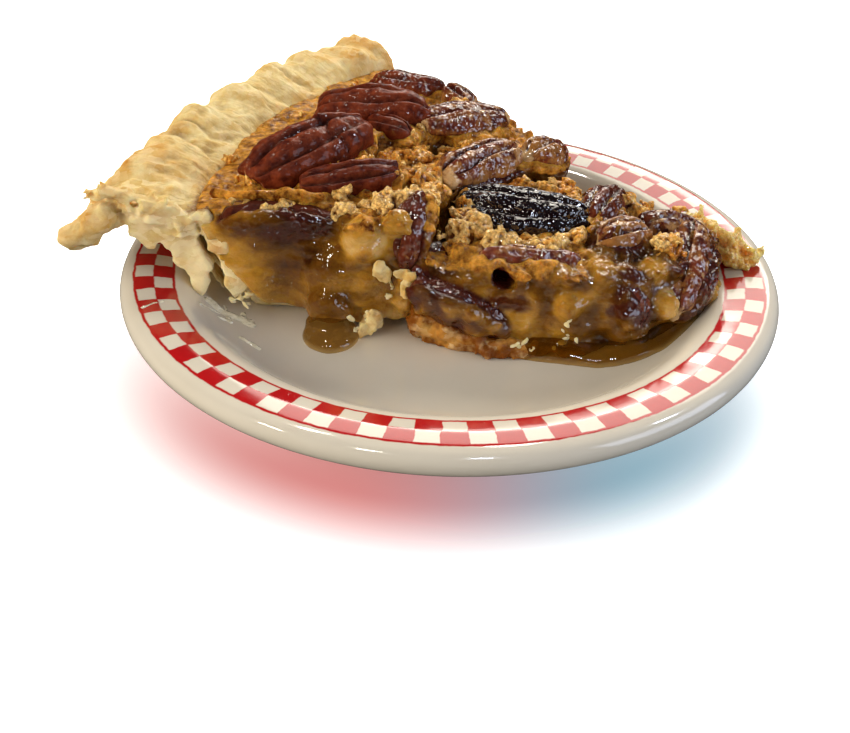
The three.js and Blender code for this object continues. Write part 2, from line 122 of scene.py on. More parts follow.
# Crags of toasted crumb that stand on the filling: middle, half sizes.
BACK_CRAGS = [
    ((-20.2, -10.6, 31.8), (3.6, 2.4, 2.2)), ((-13.6, -10.0, 33.0), (3.2, 2.6, 3.4)),
    ((-10.4, -8.4, 33.8), (2.4, 2.4, 3.2)), ((-5.2, -6.6, 33.4), (2.5, 2.4, 3.4)),
    ((-6, 6, 32.8), (3.8, 3, 2.6)), ((-9, 15.5, 33), (4, 3.2, 2.4)),
    ((-35, -9.4, 33.0), (7.5, 2.6, 1.6)), ((10, 39.5, 30.8), (3.6, 3.4, 2.6)),
]
TIP_CRAGS = [
    ((4.4, -6.2, 27.6), (3, 4, 4.2)), ((1.6, -10.6, 26), (3, 3, 4.6)),
    ((10, 10.4, 26.8), (4.4, 3.2, 3.6)), ((24, 13.6, 25.8), (4.4, 3.4, 4)),
    ((30, 1, 26.6), (3.2, 3.4, 3.4)), ((41, 8, 24), (4, 3.4, 3.4)),
    ((44.6, -8.6, 24.4), (4.4, 3.8, 3.6)),
]
TAIL_CRUMB = [
    ((53.4, 8.6, 21.6), (4.8, 4.2, 3.2)), ((58.2, 5, 20.6), (4.8, 3.8, 2.8)),
    ((62.4, 1.2, 19.4), (4, 3, 1.9)),
]
# Deep gaps between the nuts: middle, half sizes.
GAPS = [
    ((-13.4, -2.6, 33.4), (3.4, 2.6, 5)), ((-7.4, 0.6, 33), (3, 3.4, 4)), ((-21, 18.6, 34), (3, 3.4, 2.4)),
    ((-2.6, 22, 33), (3, 4, 3)), ((-9.6, 12, 34), (2.6, 2.4, 3)), ((-1, 7, 32.6), (2.4, 4.6, 3.4)),
]
# Crumb that stands round the darkest nut and along the edges, as runs of points.
FRINGE = [
    [(1.8, -9, 27.6), (2, -3, 28.6), (3, 3, 29), (5, 9, 29.2), (9, 13.2, 29)],
    [(14, 12.6, 28.4), (20, 12, 28), (25.4, 9.4, 27.6), (28, 4.4, 27.4)],
    [(4.2, -8.4, 28.2), (9, -11.4, 28.4), (15.2, -12.6, 28), (21.6, -11.4, 27.6), (26.6, -7.6, 27.2)],
    [(6.6, -12.8, 26.8), (13.4, -15.4, 26.6), (20.4, -14.8, 26.4)],
]
# The broken chips, each as thin layers: middle, then each layer's offset, half sizes and turn.
CHIPS = {
    "pastry_chip_high": ((-9.6, -18.2, 25.6), [
        ((-4.1, -0.6, -1.4), (1.7, 0.7, 2.8), (10, 6, 8)),
        ((-3.2, 0.0, -2.6), (1.3, 0.7, 1.7), (-20, 20, -10)),
        ((1.4, -1.4, -4.4), (1.6, 0.6, 3.6), (-8, -8, 6)),
        ((1.6, -1.7, -7.6), (1.3, 0.7, 3.0), (14, 6, -8)),
        ((0.4, -0.8, -2.2), (1.7, 0.5, 1.4), (4, 30, 0)),
    ]),
    "pastry_chip_low": ((-15.4, -19.4, 12.6), [
        ((0.6, -0.4, 0.6), (1.8, 0.7, 3.2), (16, 24, 14)),
        ((-0.8, 0.2, -0.8), (1.7, 0.8, 2.4), (-24, 34, -20)),
        ((-1.6, -0.6, -1.8), (1.6, 0.6, 1.4), (30, 60, 10)),
        ((0.2, 0.6, 0.2), (2.2, 0.6, 2.0), (-6, -20, 24)),
    ]),
}
# Where pebbles of crumb lie: the area in plan, how many, the seed, and their sizes.
BACK_PEBBLES = [
    ([
        (-26, -8), (-17, -12), (-7, -11), (-1, 0), (6, 24), (2, 44), (-8, 50), (-14, 44), (-12, 24), (-17, 6),
    ], 64, 70, (0.8, 2.0)),
    ([
        (-30, -8), (-44, 0), (-50, 12), (-36, 46), (-26, 62), (-16, 60), (-24, 40), (-26, 22), (-22, -4),
    ], 36, 72, (0.6, 1.3)),
]
TIP_PEBBLES = [
    ([(1, -12), (24, -17), (27, -8), (3, -6)], 26, 74, (0.8, 1.6)),
    ([(28, 2), (52, 2), (50, 9), (30, 18), (12, 12)], 26, 76, (0.8, 1.8)),
]
# The hole in the cut of the tip, as balls: middle, half sizes. The filling round it is painted dark, as
# painted shade in the hole.
HOLE = [
    ((10.6, -20.4, 24.9), (1.9, 6, 1.8)), ((12.0, -20.4, 24.1), (1.4, 6, 1.3)),
    ((9.6, -20.6, 26), (0.9, 4, 1.0)),
]
# The inside of the shell's wall, which holds the filling: height and distance from the pie's centre.
WALL_INSIDE = [
    (9, 92), (12, 99), (15.5, 102.5), (21, 106.6), (26.4, 110.5), (30.6, 112), (34, 110.5),
]
# How deep the filling's colour is along the cut: x and depth.
BACK_AMBER = [
    (-56, 0.3), (-50, 0.16), (-44, 0.3), (-38, 0.52), (-34, 0.72), (-28, 0.78), (-23, 0.66),
    (-12, 0.52), (0, 0.8),
]
TIP_AMBER = [(-6, 0.8), (2, 0.66), (12, 0.56), (22, 0.58), (34, 0.72), (50, 0.7)]
# Where small flakes lie: middle, spread, number.
FLAKES = [
    ((24.4, -24.2, 14), (0.7, 0.4, 2.0), 10), ((16, -25.6, 11.4), (2.6, 0.5, 0.6), 9),
    ((-12.4, -17.6, 22), (1.8, 0.6, 1.6), 9), ((-16.5, -19.6, 11.6), (1.4, 0.8, 1.6), 8),
    ((-39.6, -13.6, 15), (2.2, 0.5, 1.2), 7), ((-44, -14, 13), (1.6, 0.7, 0.7), 5),
]
# The torn end of the wall that hangs down in front, seen from the front as (x, height).
TONGUE = [
    (-64, 31.5), (-65.2, 27.4), (-63, 24.6), (-61, 23.6), (-59.2, 24.9), (-57.4, 22.4), (-55.2, 19.6),
    (-53.4, 16.6), (-51.6, 13.4), (-50.4, 15.4), (-49.6, 18.4), (-48.8, 21.4), (-50.6, 25.4),
    (-52.6, 30.5), (-57, 33),
]
# A second tatter past the crack.
TATTER = [
    (-52.6, 30), (-50.2, 26), (-47.6, 21), (-46.4, 17.4), (-45.2, 14), (-44.4, 12.6), (-43.2, 14.2),
    (-41, 17), (-42.5, 21), (-46.5, 27.5), (-50, 31.6),
]
# The crack between the two.
CRACK = [
    (-51.8, 26.8), (-49.2, 23.6), (-47.8, 21), (-46.2, 18.2), (-47.8, 19), (-49.4, 21.4), (-51.2, 24.4),
]
# The baked lip along the top of the near cut.
LIP = [
    (-48.5, -6.5, 34), (-45, -8.6, 34.6), (-41, -9.2, 35), (-36, -9, 35.2), (-31, -8.6, 35.4),
    (-26.5, -8.6, 34.8),
]
# Smears of syrup on the plate: points in plan, half width.
SMEARS = [
    ([(-50.4, -14.2), (-47, -15.6), (-44, -16.2), (-41.2, -16.8)], 1.1),
    ([(-47, -13), (-45.6, -16.6), (-44.8, -19)], 0.7),
    ([(-43, -14), (-42, -17.5), (-40.4, -18.4)], 0.8),
    ([(-60.5, -26.4), (-56, -22), (-51, -18.4), (-47.5, -17)], 0.45),
    ([(-41.8, -24.5), (-39.2, -26.3), (-37.6, -27.4)], 0.5),
    ([(-49, -19.6), (-45.8, -18.6), (-43, -18.2)], 0.35),
]
# Pecan halves: name, middle, (length, width, height), (yaw, pitch, roll), and how burnt they are, how
# much flesh is bare and how much caramel set on them.
PECANS = [
    ("top_large", (-30.6, 9.2, 36.2), (31, 16, 8.5), (39, 9, 14), (0.1, 0.2, 0)),
    ("top_low", (-20.3, 0.2, 34.6), (21, 8.5, 6.5), (16, 4, 25), (0.25, 0.2, 0)),
    ("top_back", (-18, 33.0, 36.2), (27.5, 14.5, 8.5), (-8, 4, 8), (0.1, 0.05, 0)),
    ("top_far", (-12.4, 56, 33.2), (17, 9.5, 6.2), (-20, 4, 0), (0.15, 0.1, 0.1)),
    ("top_small", (-14.2, 23.5, 35.4), (14, 8, 6), (-36, 6, 8), (0.15, 0.2, 0.1)),
    ("top_glossy", (1.6, 33, 34.2), (22, 16, 7.5), (22, -3, -6), (0.3, 0.5, 0.45)),
    ("far_stub", (0.6, 49.6, 33.2), (11, 7.5, 5.6), (-52, 0, 0), (0.2, 0.45, 0.5)),
    ("ridge", (6.6, 15.4, 32.0), (23, 11.5, 7), (41, 2, 12), (0.15, 0.6, 0.6)),
    ("ridge_end", (20.6, 24.6, 30.4), (12, 10, 7), (44, -6, 0), (0.15, 0.7, 0.6)),
    ("dark", (14.6, 1.0, 27.4), (26.5, 16, 7.5), (-9, -2, 18), (1.0, 0.0, 0)),
    ("tip_upright", (33, 6.6, 26.2), (18, 9.5, 8), (66, 0, 0), (0.35, 0.0, 0.25)),
    ("tip_pale", (35, -6.2, 26.4), (13, 9, 7.5), (24, 4, 20), (0.1, 0.6, 0.65)),
    ("tip_back", (46, 3, 24.4), (14.5, 8, 6.2), (20, -4, 0), (0.35, 0.5, 0.35)),
    ("tip_nose", (49.4, -9.2, 20.8), (21.5, 11.5, 8.4), (-104, -27, 26), (0.15, 0.5, 0.5)),
    ("break_top", (-7.6, -12.8, 30.2), (13.5, 8, 6.4), (70, 58, -40), (0.4, 0.1, 0.2)),
    ("front_strip", (1.8, -21.6, 17.8), (22, 9, 6), (-10, -20, -62), (0.5, 0.0, 0)),
    ("front_shelf", (16.5, -15.8, 25), (23, 8.5, 6), (3, -3, -30), (0.15, 0.2, 0.5)),
    ("front_right", (34.4, -17.6, 20.6), (16, 8.5, 7), (-52, -24, -50), (0.3, 0.0, 0)),
    ("break_low", (-3.4, -13.6, 22.6), (13, 8, 6.5), (48, 18, -30), (0.4, 0.0, 0)),
    ("near_cut", (-33.5, -11.0, 29.6), (26, 9.5, 6.5), (3, -3, -66), (0.55, 0.0, 0)),
]
# Nuts on which much sugar set.
SUGARED = (
    "break_top", "break_low", "front_strip", "front_right", "front_shelf", "top_glossy", "top_far",
    "far_stub", "ridge", "ridge_end", "dark", "tip_upright", "tip_back", "tip_pale", "tip_nose",
)
# The camera: its place and what it looks at, from the plate's axis at table height, its roll and lens.
EYE = (0, -228.2, 144.1)
AIM = (-4.67, 0, -11.56)
ROLL = 1.53
LENS = 50.93
FLOOR_METRES = 6.0
# Small lamps of the room, as (azimuth, elevation, colour).
LAMPS = [
    (-152, 52, "daylight"), (165, 48, "cool_light"), (15, 62, "daylight"), (-45, 66, "daylight"),
    (80, 50, "cool_light"), (-120, 38, "daylight"),
]


# ---- small maths ----------------------------------------------------------------------------------
def linear(code):
    """A colour in Blender's linear values, from its sRGB hex value."""
    parts = [int(code[i:i + 2], 16) / 255 for i in (1, 3, 5)]
    return tuple(c / 12.92 if c <= 0.04045 else ((c + 0.055) / 1.055) ** 2.4 for c in parts)


def smooth(x, low, high):
    """0 below low and 1 above high, with a smooth step between. Low may be above high."""
    t = np.clip((x - low) / (high - low), 0, 1)
    return t * t * (3 - 2 * t)


def bell(x, centre, width):
    """1 at the centre, falling away over the width."""
    return np.exp(-(((x - centre) / width) ** 2))


def along_line(x, line):
    """The height at x of a line through (x, height) points."""
    return np.interp(x, *np.transpose(line))


def wobble(x, y, z, seed=0):
    """A smooth, repeatable unevenness between about -1 and 1."""
    return (
        np.sin(0.61 * x + 1.7 * seed + 1.3 * np.sin(0.37 * y + seed)) * 0.4
        + np.sin(0.53 * y - 2.1 * seed + 1.1 * np.sin(0.41 * z)) * 0.35
        + np.sin(0.67 * z + 0.9 * seed + 1.2 * np.sin(0.33 * x)) * 0.25
    )


def noise(points, size, seed=0):
    """Smooth random values between -1 and 1 that change over that many millimetres."""
    table = np.random.default_rng(seed).uniform(-1, 1, (32, 32, 32)).astype(np.float32)
    cell = np.floor(points / size).astype(np.int64)
    part = points / size - cell
    part = part * part * (3 - 2 * part)
    total = np.zeros(len(points))
    for corner in product((0, 1), repeat=3):
        i, j, k = ((cell + corner) % 32).T
        weight = np.prod(np.where(corner, part, 1 - part), axis=1)
        total += weight * table[i, j, k]
    return total


def fractal(points, size, octaves=3, seed=0):
    """Noise with finer and weaker noise added to it."""
    layers = [noise(points, size / 2**i, seed + i) / 1.8**i for i in range(octaves)]
    return sum(layers)


def beads(points, size, seed=0):
    """Distance to the nearest of many random seeds, one for each cube of that size."""
    table = np.random.default_rng(seed).random((24, 24, 24, 3))
    cell = np.floor(points / size).astype(np.int64)
    best = np.full(len(points), np.inf)
    for offset in product((-1, 0, 1), repeat=3):
        at = cell + offset
        i, j, k = (at % 24).T
        best = np.minimum(best, ((points - (at + table[i, j, k]) * size) ** 2).sum(1))
    return np.sqrt(best)


def closed_curve(points, steps=8):
    """A smooth closed outline through the points."""
    p = np.array(points, float)
    a, b, c, d = (np.roll(p, k, axis=0)[:, None] for k in (1, 0, -1, -2))
    t = (np.arange(steps) / steps)[None, :, None]
    curve = b + 0.5 * t * (c - a + t * (2 * a - 5 * b + 4 * c - d + t * (3 * (b - c) + d - a)))
    return curve.reshape(-1, p.shape[1])


def resampled(points, count):
    """That many points, evenly spaced along a line of points."""
    p = np.array(points, float)
    along = np.concatenate([[0], np.cumsum(np.linalg.norm(np.diff(p, axis=0), axis=1))])
    at = np.linspace(0, along[-1], count)
    return np.stack([np.interp(at, along, p[:, i]) for i in range(p.shape[1])], axis=1)


def softened(points, spacing, reach):
    """A line of points with its corners rounded over that many millimetres. Its ends stay."""
    p = np.array(points, float)
    length = np.linalg.norm(np.diff(p, axis=0), axis=1).sum()
    fine = resampled(p, int(length / spacing) + 1)
    half = int(3 * reach / spacing)
    kernel = np.exp(-0.5 * (np.arange(-half, half + 1) * spacing / reach) ** 2)
    kernel /= kernel.sum()
    before = 2 * fine[0] - fine[half:0:-1]
    after = 2 * fine[-1] - fine[-2:-half - 2:-1]
    wide = np.concatenate([before, fine, after])
    return np.stack([np.convolve(wide[:, i], kernel, "valid") for i in range(p.shape[1])], axis=1)


def outline_distance(x, y, outline):
    """Signed distance from points to a closed outline, negative inside."""
    nearest = np.full(np.broadcast(x, y).shape, np.inf)
    inside = np.zeros(nearest.shape, bool)
    for (ax, ay), (bx, by) in zip(outline, np.roll(outline, -1, axis=0)):
        ux, uy = bx - ax, by - ay
        t = np.clip(((x - ax) * ux + (y - ay) * uy) / (ux * ux + uy * uy + 1e-12), 0, 1)
        nearest = np.minimum(nearest, (x - ax - t * ux) ** 2 + (y - ay - t * uy) ** 2)
        crosses = ((ay > y) != (by > y)) & (x < (bx - ax) * (y - ay) / (by - ay + 1e-12) + ax)
        inside ^= crosses
    return np.sqrt(nearest) * np.where(inside, -1, 1)


def soft_min(a, b, blend):
    """The smaller of two distances, with the join filled in over blend millimetres."""
    if blend <= 0:
        return np.minimum(a, b)
    h = np.clip(0.5 + 0.5 * (b - a) / blend, 0, 1)
    return b + (a - b) * h - blend * h * (1 - h)


def soft_max(a, b, blend):
    """The larger of two distances, with the join filled in over blend millimetres."""
    return -soft_min(-a, -b, blend)


def turned(angles):
    """The turn of a nut: rolled about its length, pitched up at its +X end, then yawed."""
    yaw, pitch, roll = (math.radians(a) for a in angles)
    turn = Matrix.Rotation(yaw, 3, "Z") @ Matrix.Rotation(-pitch, 3, "Y") @ Matrix.Rotation(roll, 3, "X")
    return np.array(turn)


def ellipsoid(x, y, z, centre, half, turn=None):
    """Distance to an ellipsoid, negative inside."""
    away = [x - centre[0], y - centre[1], z - centre[2]]
    if turn is not None:
        away = [sum(turn[i, j] * away[i] for i in range(3)) for j in range(3)]
    k = np.sqrt(sum((a / h) ** 2 for a, h in zip(away, half)))
    steep = np.sqrt(sum((a / h**2) ** 2 for a, h in zip(away, half)))
    return k * (k - 1) / np.maximum(steep, 1e-6)


def nut_distance(points, names):
    """Distance from points to the nearest of those nuts."""
    best = np.full(len(points), 99.0)
    for name, at, size, angles, _ in PECANS:
        if name in names:
            half = np.array(size) * (0.5, 0.5, 0.46)
            best = np.minimum(best, ellipsoid(*points.T, at, half, turned(angles)))
    return best


def curd_distance(points, rows):
    """Distance from points to the nearest of those ellipsoids."""
    return np.min([ellipsoid(*points.T, np.array(c), h) for c, h, _ in rows], axis=0)


def curd_colour(points, rows, amber):
    """The depth of colour, with each curd's own over its ellipsoid."""
    for centre, half, own in rows:
        within = 1 - smooth(ellipsoid(*points.T, np.array(centre), half), -0.3, 1.1)
        amber = amber * (1 - within) + own * within
    return amber


# ---- fields ---------------------------------------------------------------------------------------
class Field:
    """Signed distances in millimetres on a grid, negative inside."""

    def __init__(self, low, high, voxel=VOXEL):
        self.voxel = voxel
        self.first = np.floor(np.array(low, float) / voxel).astype(int)
        self.count = np.ceil(np.array(high, float) / voxel).astype(int) - self.first + 1
        self.dist = np.full(self.count, FAR, np.float32)

    def window(self, low, high):
        """The part of the grid between two corners, as slices and its coordinates."""
        a = np.clip(np.floor(np.array(low) / self.voxel).astype(int) - self.first, 0, self.count - 1)
        b = np.clip(np.ceil(np.array(high) / self.voxel).astype(int) - self.first, 1, self.count)
        part = tuple(slice(i, j) for i, j in zip(a, b))
        axes = [(self.first[i] + np.arange(a[i], b[i])) * self.voxel for i in range(3)]
        return part, np.meshgrid(*axes, indexing="ij", sparse=True)

    def whole(self):
        low = self.first * self.voxel
        return self.window(low, low + self.count * self.voxel)

    def join(self, part, shape, blend=0.0):
        self.dist[part] = np.clip(soft_min(self.dist[part], shape, blend), -FAR, FAR)

    def cut(self, part, shape, blend=0.0):
        self.dist[part] = np.clip(soft_max(self.dist[part], -shape, blend), -FAR, FAR)

    def ball(self, centre, half, blend=0.0, turn=None, cut=False, reach=4.0):
        """Joins or cuts an ellipsoid."""
        size = max(half) + reach if turn is not None else np.array(half) + reach
        part, (x, y, z) = self.window(np.array(centre) - size, np.array(centre) + size)
        shape = ellipsoid(x, y, z, centre, half, turn)
        (self.cut if cut else self.join)(part, shape, blend)

    def mesh_in(self, points, quads):
        """Takes in a closed mesh as it is."""
        grid = vdb.FloatGrid.createLevelSetFromPolygons(
            np.ascontiguousarray(points, dtype=np.float32),
            quads=np.ascontiguousarray(quads, dtype=np.uint32),
            transform=vdb.createLinearTransform(voxelSize=self.voxel),
            halfWidth=FAR / self.voxel,
        )
        grid.copyToArray(self.dist, ijk=tuple(int(i) for i in self.first))

    def band(self, reach=None):
        """The grid points near the surface, and where they are."""
        index = np.nonzero(np.abs(self.dist) < (reach or 3 * self.voxel))
        return index, (np.stack(index, axis=1) + self.first) * self.voxel

    def swell(self, amount, reach=None):
        """Moves the surface out by amount(points)."""
        index, points = self.band(reach)
        self.dist[index] -= amount(points).astype(np.float32)

    def sample(self, points, values=None):
        """The field, or other values on its grid, at any points."""
        values = self.dist if values is None else values
        q = points / self.voxel - self.first
        cell = np.clip(np.floor(q).astype(int), 0, self.count - 2)
        part = np.clip(q - cell, 0, 1)
        total = np.zeros(len(points))
        for corner in product((0, 1), repeat=3):
            i, j, k = (cell + corner).T
            total += np.prod(np.where(corner, part, 1 - part), axis=1) * values[i, j, k]
        return total

    def blurred(self, rounds):
        """The field averaged with its neighbours, which tells bumps from hollows."""
        soft = self.dist.copy()
        for _ in range(rounds):
            for axis in range(3):
                soft = (soft + 0.5 * (np.roll(soft, 1, axis) + np.roll(soft, -1, axis))) / 2
        return soft

    def surface(self, least=300):
        """Points and quads of the surface, without loose scraps of fewer points than least."""
        grid = vdb.FloatGrid(FAR)
        grid.copyFromArray(self.dist, tolerance=0.0)
        grid.transform = vdb.createLinearTransform(voxelSize=self.voxel)
        points, quads = grid.convertToQuads(isovalue=0.0)
        label = np.arange(len(points))
        while True:
            low = label[quads].min(axis=1)
            new = label.copy()
            for i in range(4):
                np.minimum.at(new, quads[:, i], low)
            new = new[new]
            if (new == label).all():
                break
            label = new
        sizes = np.bincount(label, minlength=len(points))
        keep = sizes[label] >= least
        renumber = np.cumsum(keep) - 1
        quads = renumber[quads[keep[quads[:, 0]]]]
        return points[keep] + self.first * self.voxel, quads


# ---- meshes ---------------------------------------------------------------------------------------
def new_piece(name, points, faces, material, values=None):
    """A smooth mesh object from points in millimetres about the plate's axis."""
    mesh = bpy.data.meshes.new(name)
    mesh.from_pydata((np.asarray(points, float) + PLATE_AXIS) * MM, [], faces)
    mesh.polygons.foreach_set("use_smooth", np.ones(len(mesh.polygons), bool))
    for key, numbers in (values or {}).items():
        attribute = mesh.attributes.new(key, "FLOAT", "POINT")
        attribute.data.foreach_set("value", np.asarray(numbers, np.float32))
    mesh.materials.append(material)
    piece = bpy.data.objects.new(name, mesh)
    bpy.context.scene.collection.objects.link(piece)
    return piece


def made_earlier(store, key, operator):
    """What another operator made, or an error that says which operator comes first."""
    if key not in store:
        raise RuntimeError(f"{key} is missing: run pie.{operator} first")
    return store[key]


def served(piece, slot, *nodes):
    """The piece stands for those nodes and rides on the one body. slot is not used."""
    if nodes:
        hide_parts(*nodes)
    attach(piece, "root")
    return piece


def grid_faces(rows, columns, closed=True):
    """Quads between rows of points, wound the same way round."""
    r = np.arange(rows - 1)[:, None]
    c = np.arange(columns if closed else columns - 1)[None]
    a = r * columns + c
    b = r * columns + (c + 1) % columns
    return np.stack([a, b, b + columns, a + columns], axis=-1).reshape(-1, 4)


# ---- materials ------------------------------------------------------------------------------------
def plug(made, inputs):
    """Sets a node's inputs, each to a value, a socket, or a node whose first working output it takes."""
    for key, value in inputs.items():
        if isinstance(value, bpy.types.Node):
            value = next(socket for socket in value.outputs if socket.enabled)
        if isinstance(value, bpy.types.NodeSocket):
            made.id_data.links.new(value, made.inputs[key])
        else:
            made.inputs[key].default_value = value


def node(tree, kind, inputs=None, **settings):
    """Adds a node with its settings and inputs."""
    made = tree.nodes.new("ShaderNode" + kind)
    for key, value in settings.items():
        setattr(made, key, value)
    plug(made, inputs or {})
    return made


def blank_material(name):
    """A material, the node function for its tree, its shader, and places on the piece in millimetres."""
    material = bpy.data.materials.new(name)
    material.use_nodes = True
    material.node_tree.nodes.clear()
    add = partial(node, material.node_tree)
    shader = add("BsdfPrincipled")
    add("OutputMaterial", {"Surface": shader})
    place = add("TexCoord").outputs["Object"]
    return material, add, shader, add("VectorMath", {0: place, 1: (1 / MM,) * 3}, operation="MULTIPLY")


def rgba(colour):
    """The colour with its alpha."""
    return (*colour, 1.0)


def glazed_china(p):
    """Vitrified china under a clear fired glaze, with the check printed under the glaze.
    The eye gets warm cream with a hard wet shine, soft mottling, and red that is never quite even."""
    material, add, shader, place = blank_material("glazed_vitreous_china")
    away = add("VectorMath", {0: place, 1: tuple(PLATE_AXIS)}, operation="SUBTRACT")
    xyz = add("SeparateXYZ", {0: away})
    flat = add("VectorMath", {0: away, 1: (1, 1, 0)}, operation="MULTIPLY")
    radius = add("VectorMath", {0: flat}, operation="LENGTH")
    angle = add("Math", {0: xyz.outputs["Y"], 1: xyz.outputs["X"]}, operation="ARCTAN2")
    # The print's edges wander by a tenth of a millimetre or so, over 3 mm.
    waver = add("TexNoise", {"Vector": away, "Scale": 1 / 3.0, "Detail": 2.0})
    bend = add("Math", {0: waver, 1: 0.5}, operation="SUBTRACT")
    wavy_radius = add("Math", {0: bend, 1: 0.6, 2: radius}, operation="MULTIPLY_ADD")
    start = -math.radians(FIRST_CHECK) * p.checks
    turns = add("Math", {0: angle, 1: float(p.checks), 2: start}, operation="MULTIPLY_ADD")
    wavy_turns = add("Math", {0: bend, 1: 0.5, 2: turns}, operation="MULTIPLY_ADD")
    wave = add("Math", {0: wavy_turns}, operation="COSINE")
    inner, outer, line = p.band_inner / MM, p.band_outer / MM, p.band_line / MM
    middle = (inner + outer) / 2
    side = add("Math", {0: middle, 1: wavy_radius}, operation="LESS_THAN")
    flip = add("Math", {0: side, 1: -2.0, 2: 1.0}, operation="MULTIPLY_ADD")
    check = add("Math", {0: wave, 1: flip}, operation="MULTIPLY")
    white = add("MapRange", {0: check, 1: 0.02, 2: 0.16}, interpolation_type="SMOOTHSTEP")

    def between(low, high, soft=0.12):
        begins = add("MapRange", {0: wavy_radius, 1: low - soft, 2: low + soft})
        ends = add("MapRange", {0: wavy_radius, 1: high + soft, 2: high - soft})
        return add("Math", {0: begins, 1: ends}, operation="MULTIPLY")

    inside = between(inner + line, middle - 0.1)
    outside = between(middle + 0.1, outer - line)
    rows = add("Math", {0: inside, 1: outside}, operation="ADD")
    gap = add("Math", {0: white, 1: rows}, operation="MULTIPLY")
    ink = add("Math", {0: between(inner, outer), 1: gap}, operation="SUBTRACT")
    top = add("MapRange", {0: xyz.outputs["Z"], 1: PLATE_HEIGHT - 3.5, 2: PLATE_HEIGHT - 3.0})
    printed = add("Math", {0: ink, 1: top}, operation="MULTIPLY", use_clamp=True)
    mottle = add("TexNoise", {"Vector": away, "Scale": 1 / 14.0, "Detail": 4.0})
    glaze = add("Mix", {"Factor": mottle, 6: rgba(p.glaze), 7: rgba(p.glaze_shade)}, data_type="RGBA")
    grain = add("TexNoise", {"Vector": away, "Scale": 1 / 1.6, "Detail": 3.0})
    red = add("Mix", {"Factor": grain, 6: rgba(p.red), 7: rgba(p.red_shade)}, data_type="RGBA")
    # The foot ring is wiped clean of glaze before firing, and stays dry and grey.
    foot = add("MapRange", {0: xyz.outputs["Z"], 1: 0.7, 2: 0.3})
    colour = add("Mix", {"Factor": printed, 6: glaze, 7: red}, data_type="RGBA")
    bare = add("Mix", {"Factor": foot, 6: colour, 7: rgba(p.bare_china)}, data_type="RGBA")
    ripple = add("TexNoise", {"Vector": away, "Scale": 1 / 9.0, "Detail": 2.0})
    plug(shader, {
        "Base Color": bare,
        "Roughness": add("MapRange", {0: foot, 3: 0.09, 4: 0.75}),
        "IOR": 1.52,
        "Normal": add("Bump", {"Height": ripple, "Strength": 0.25, "Distance": 0.25 * MM}),
    })
    return material


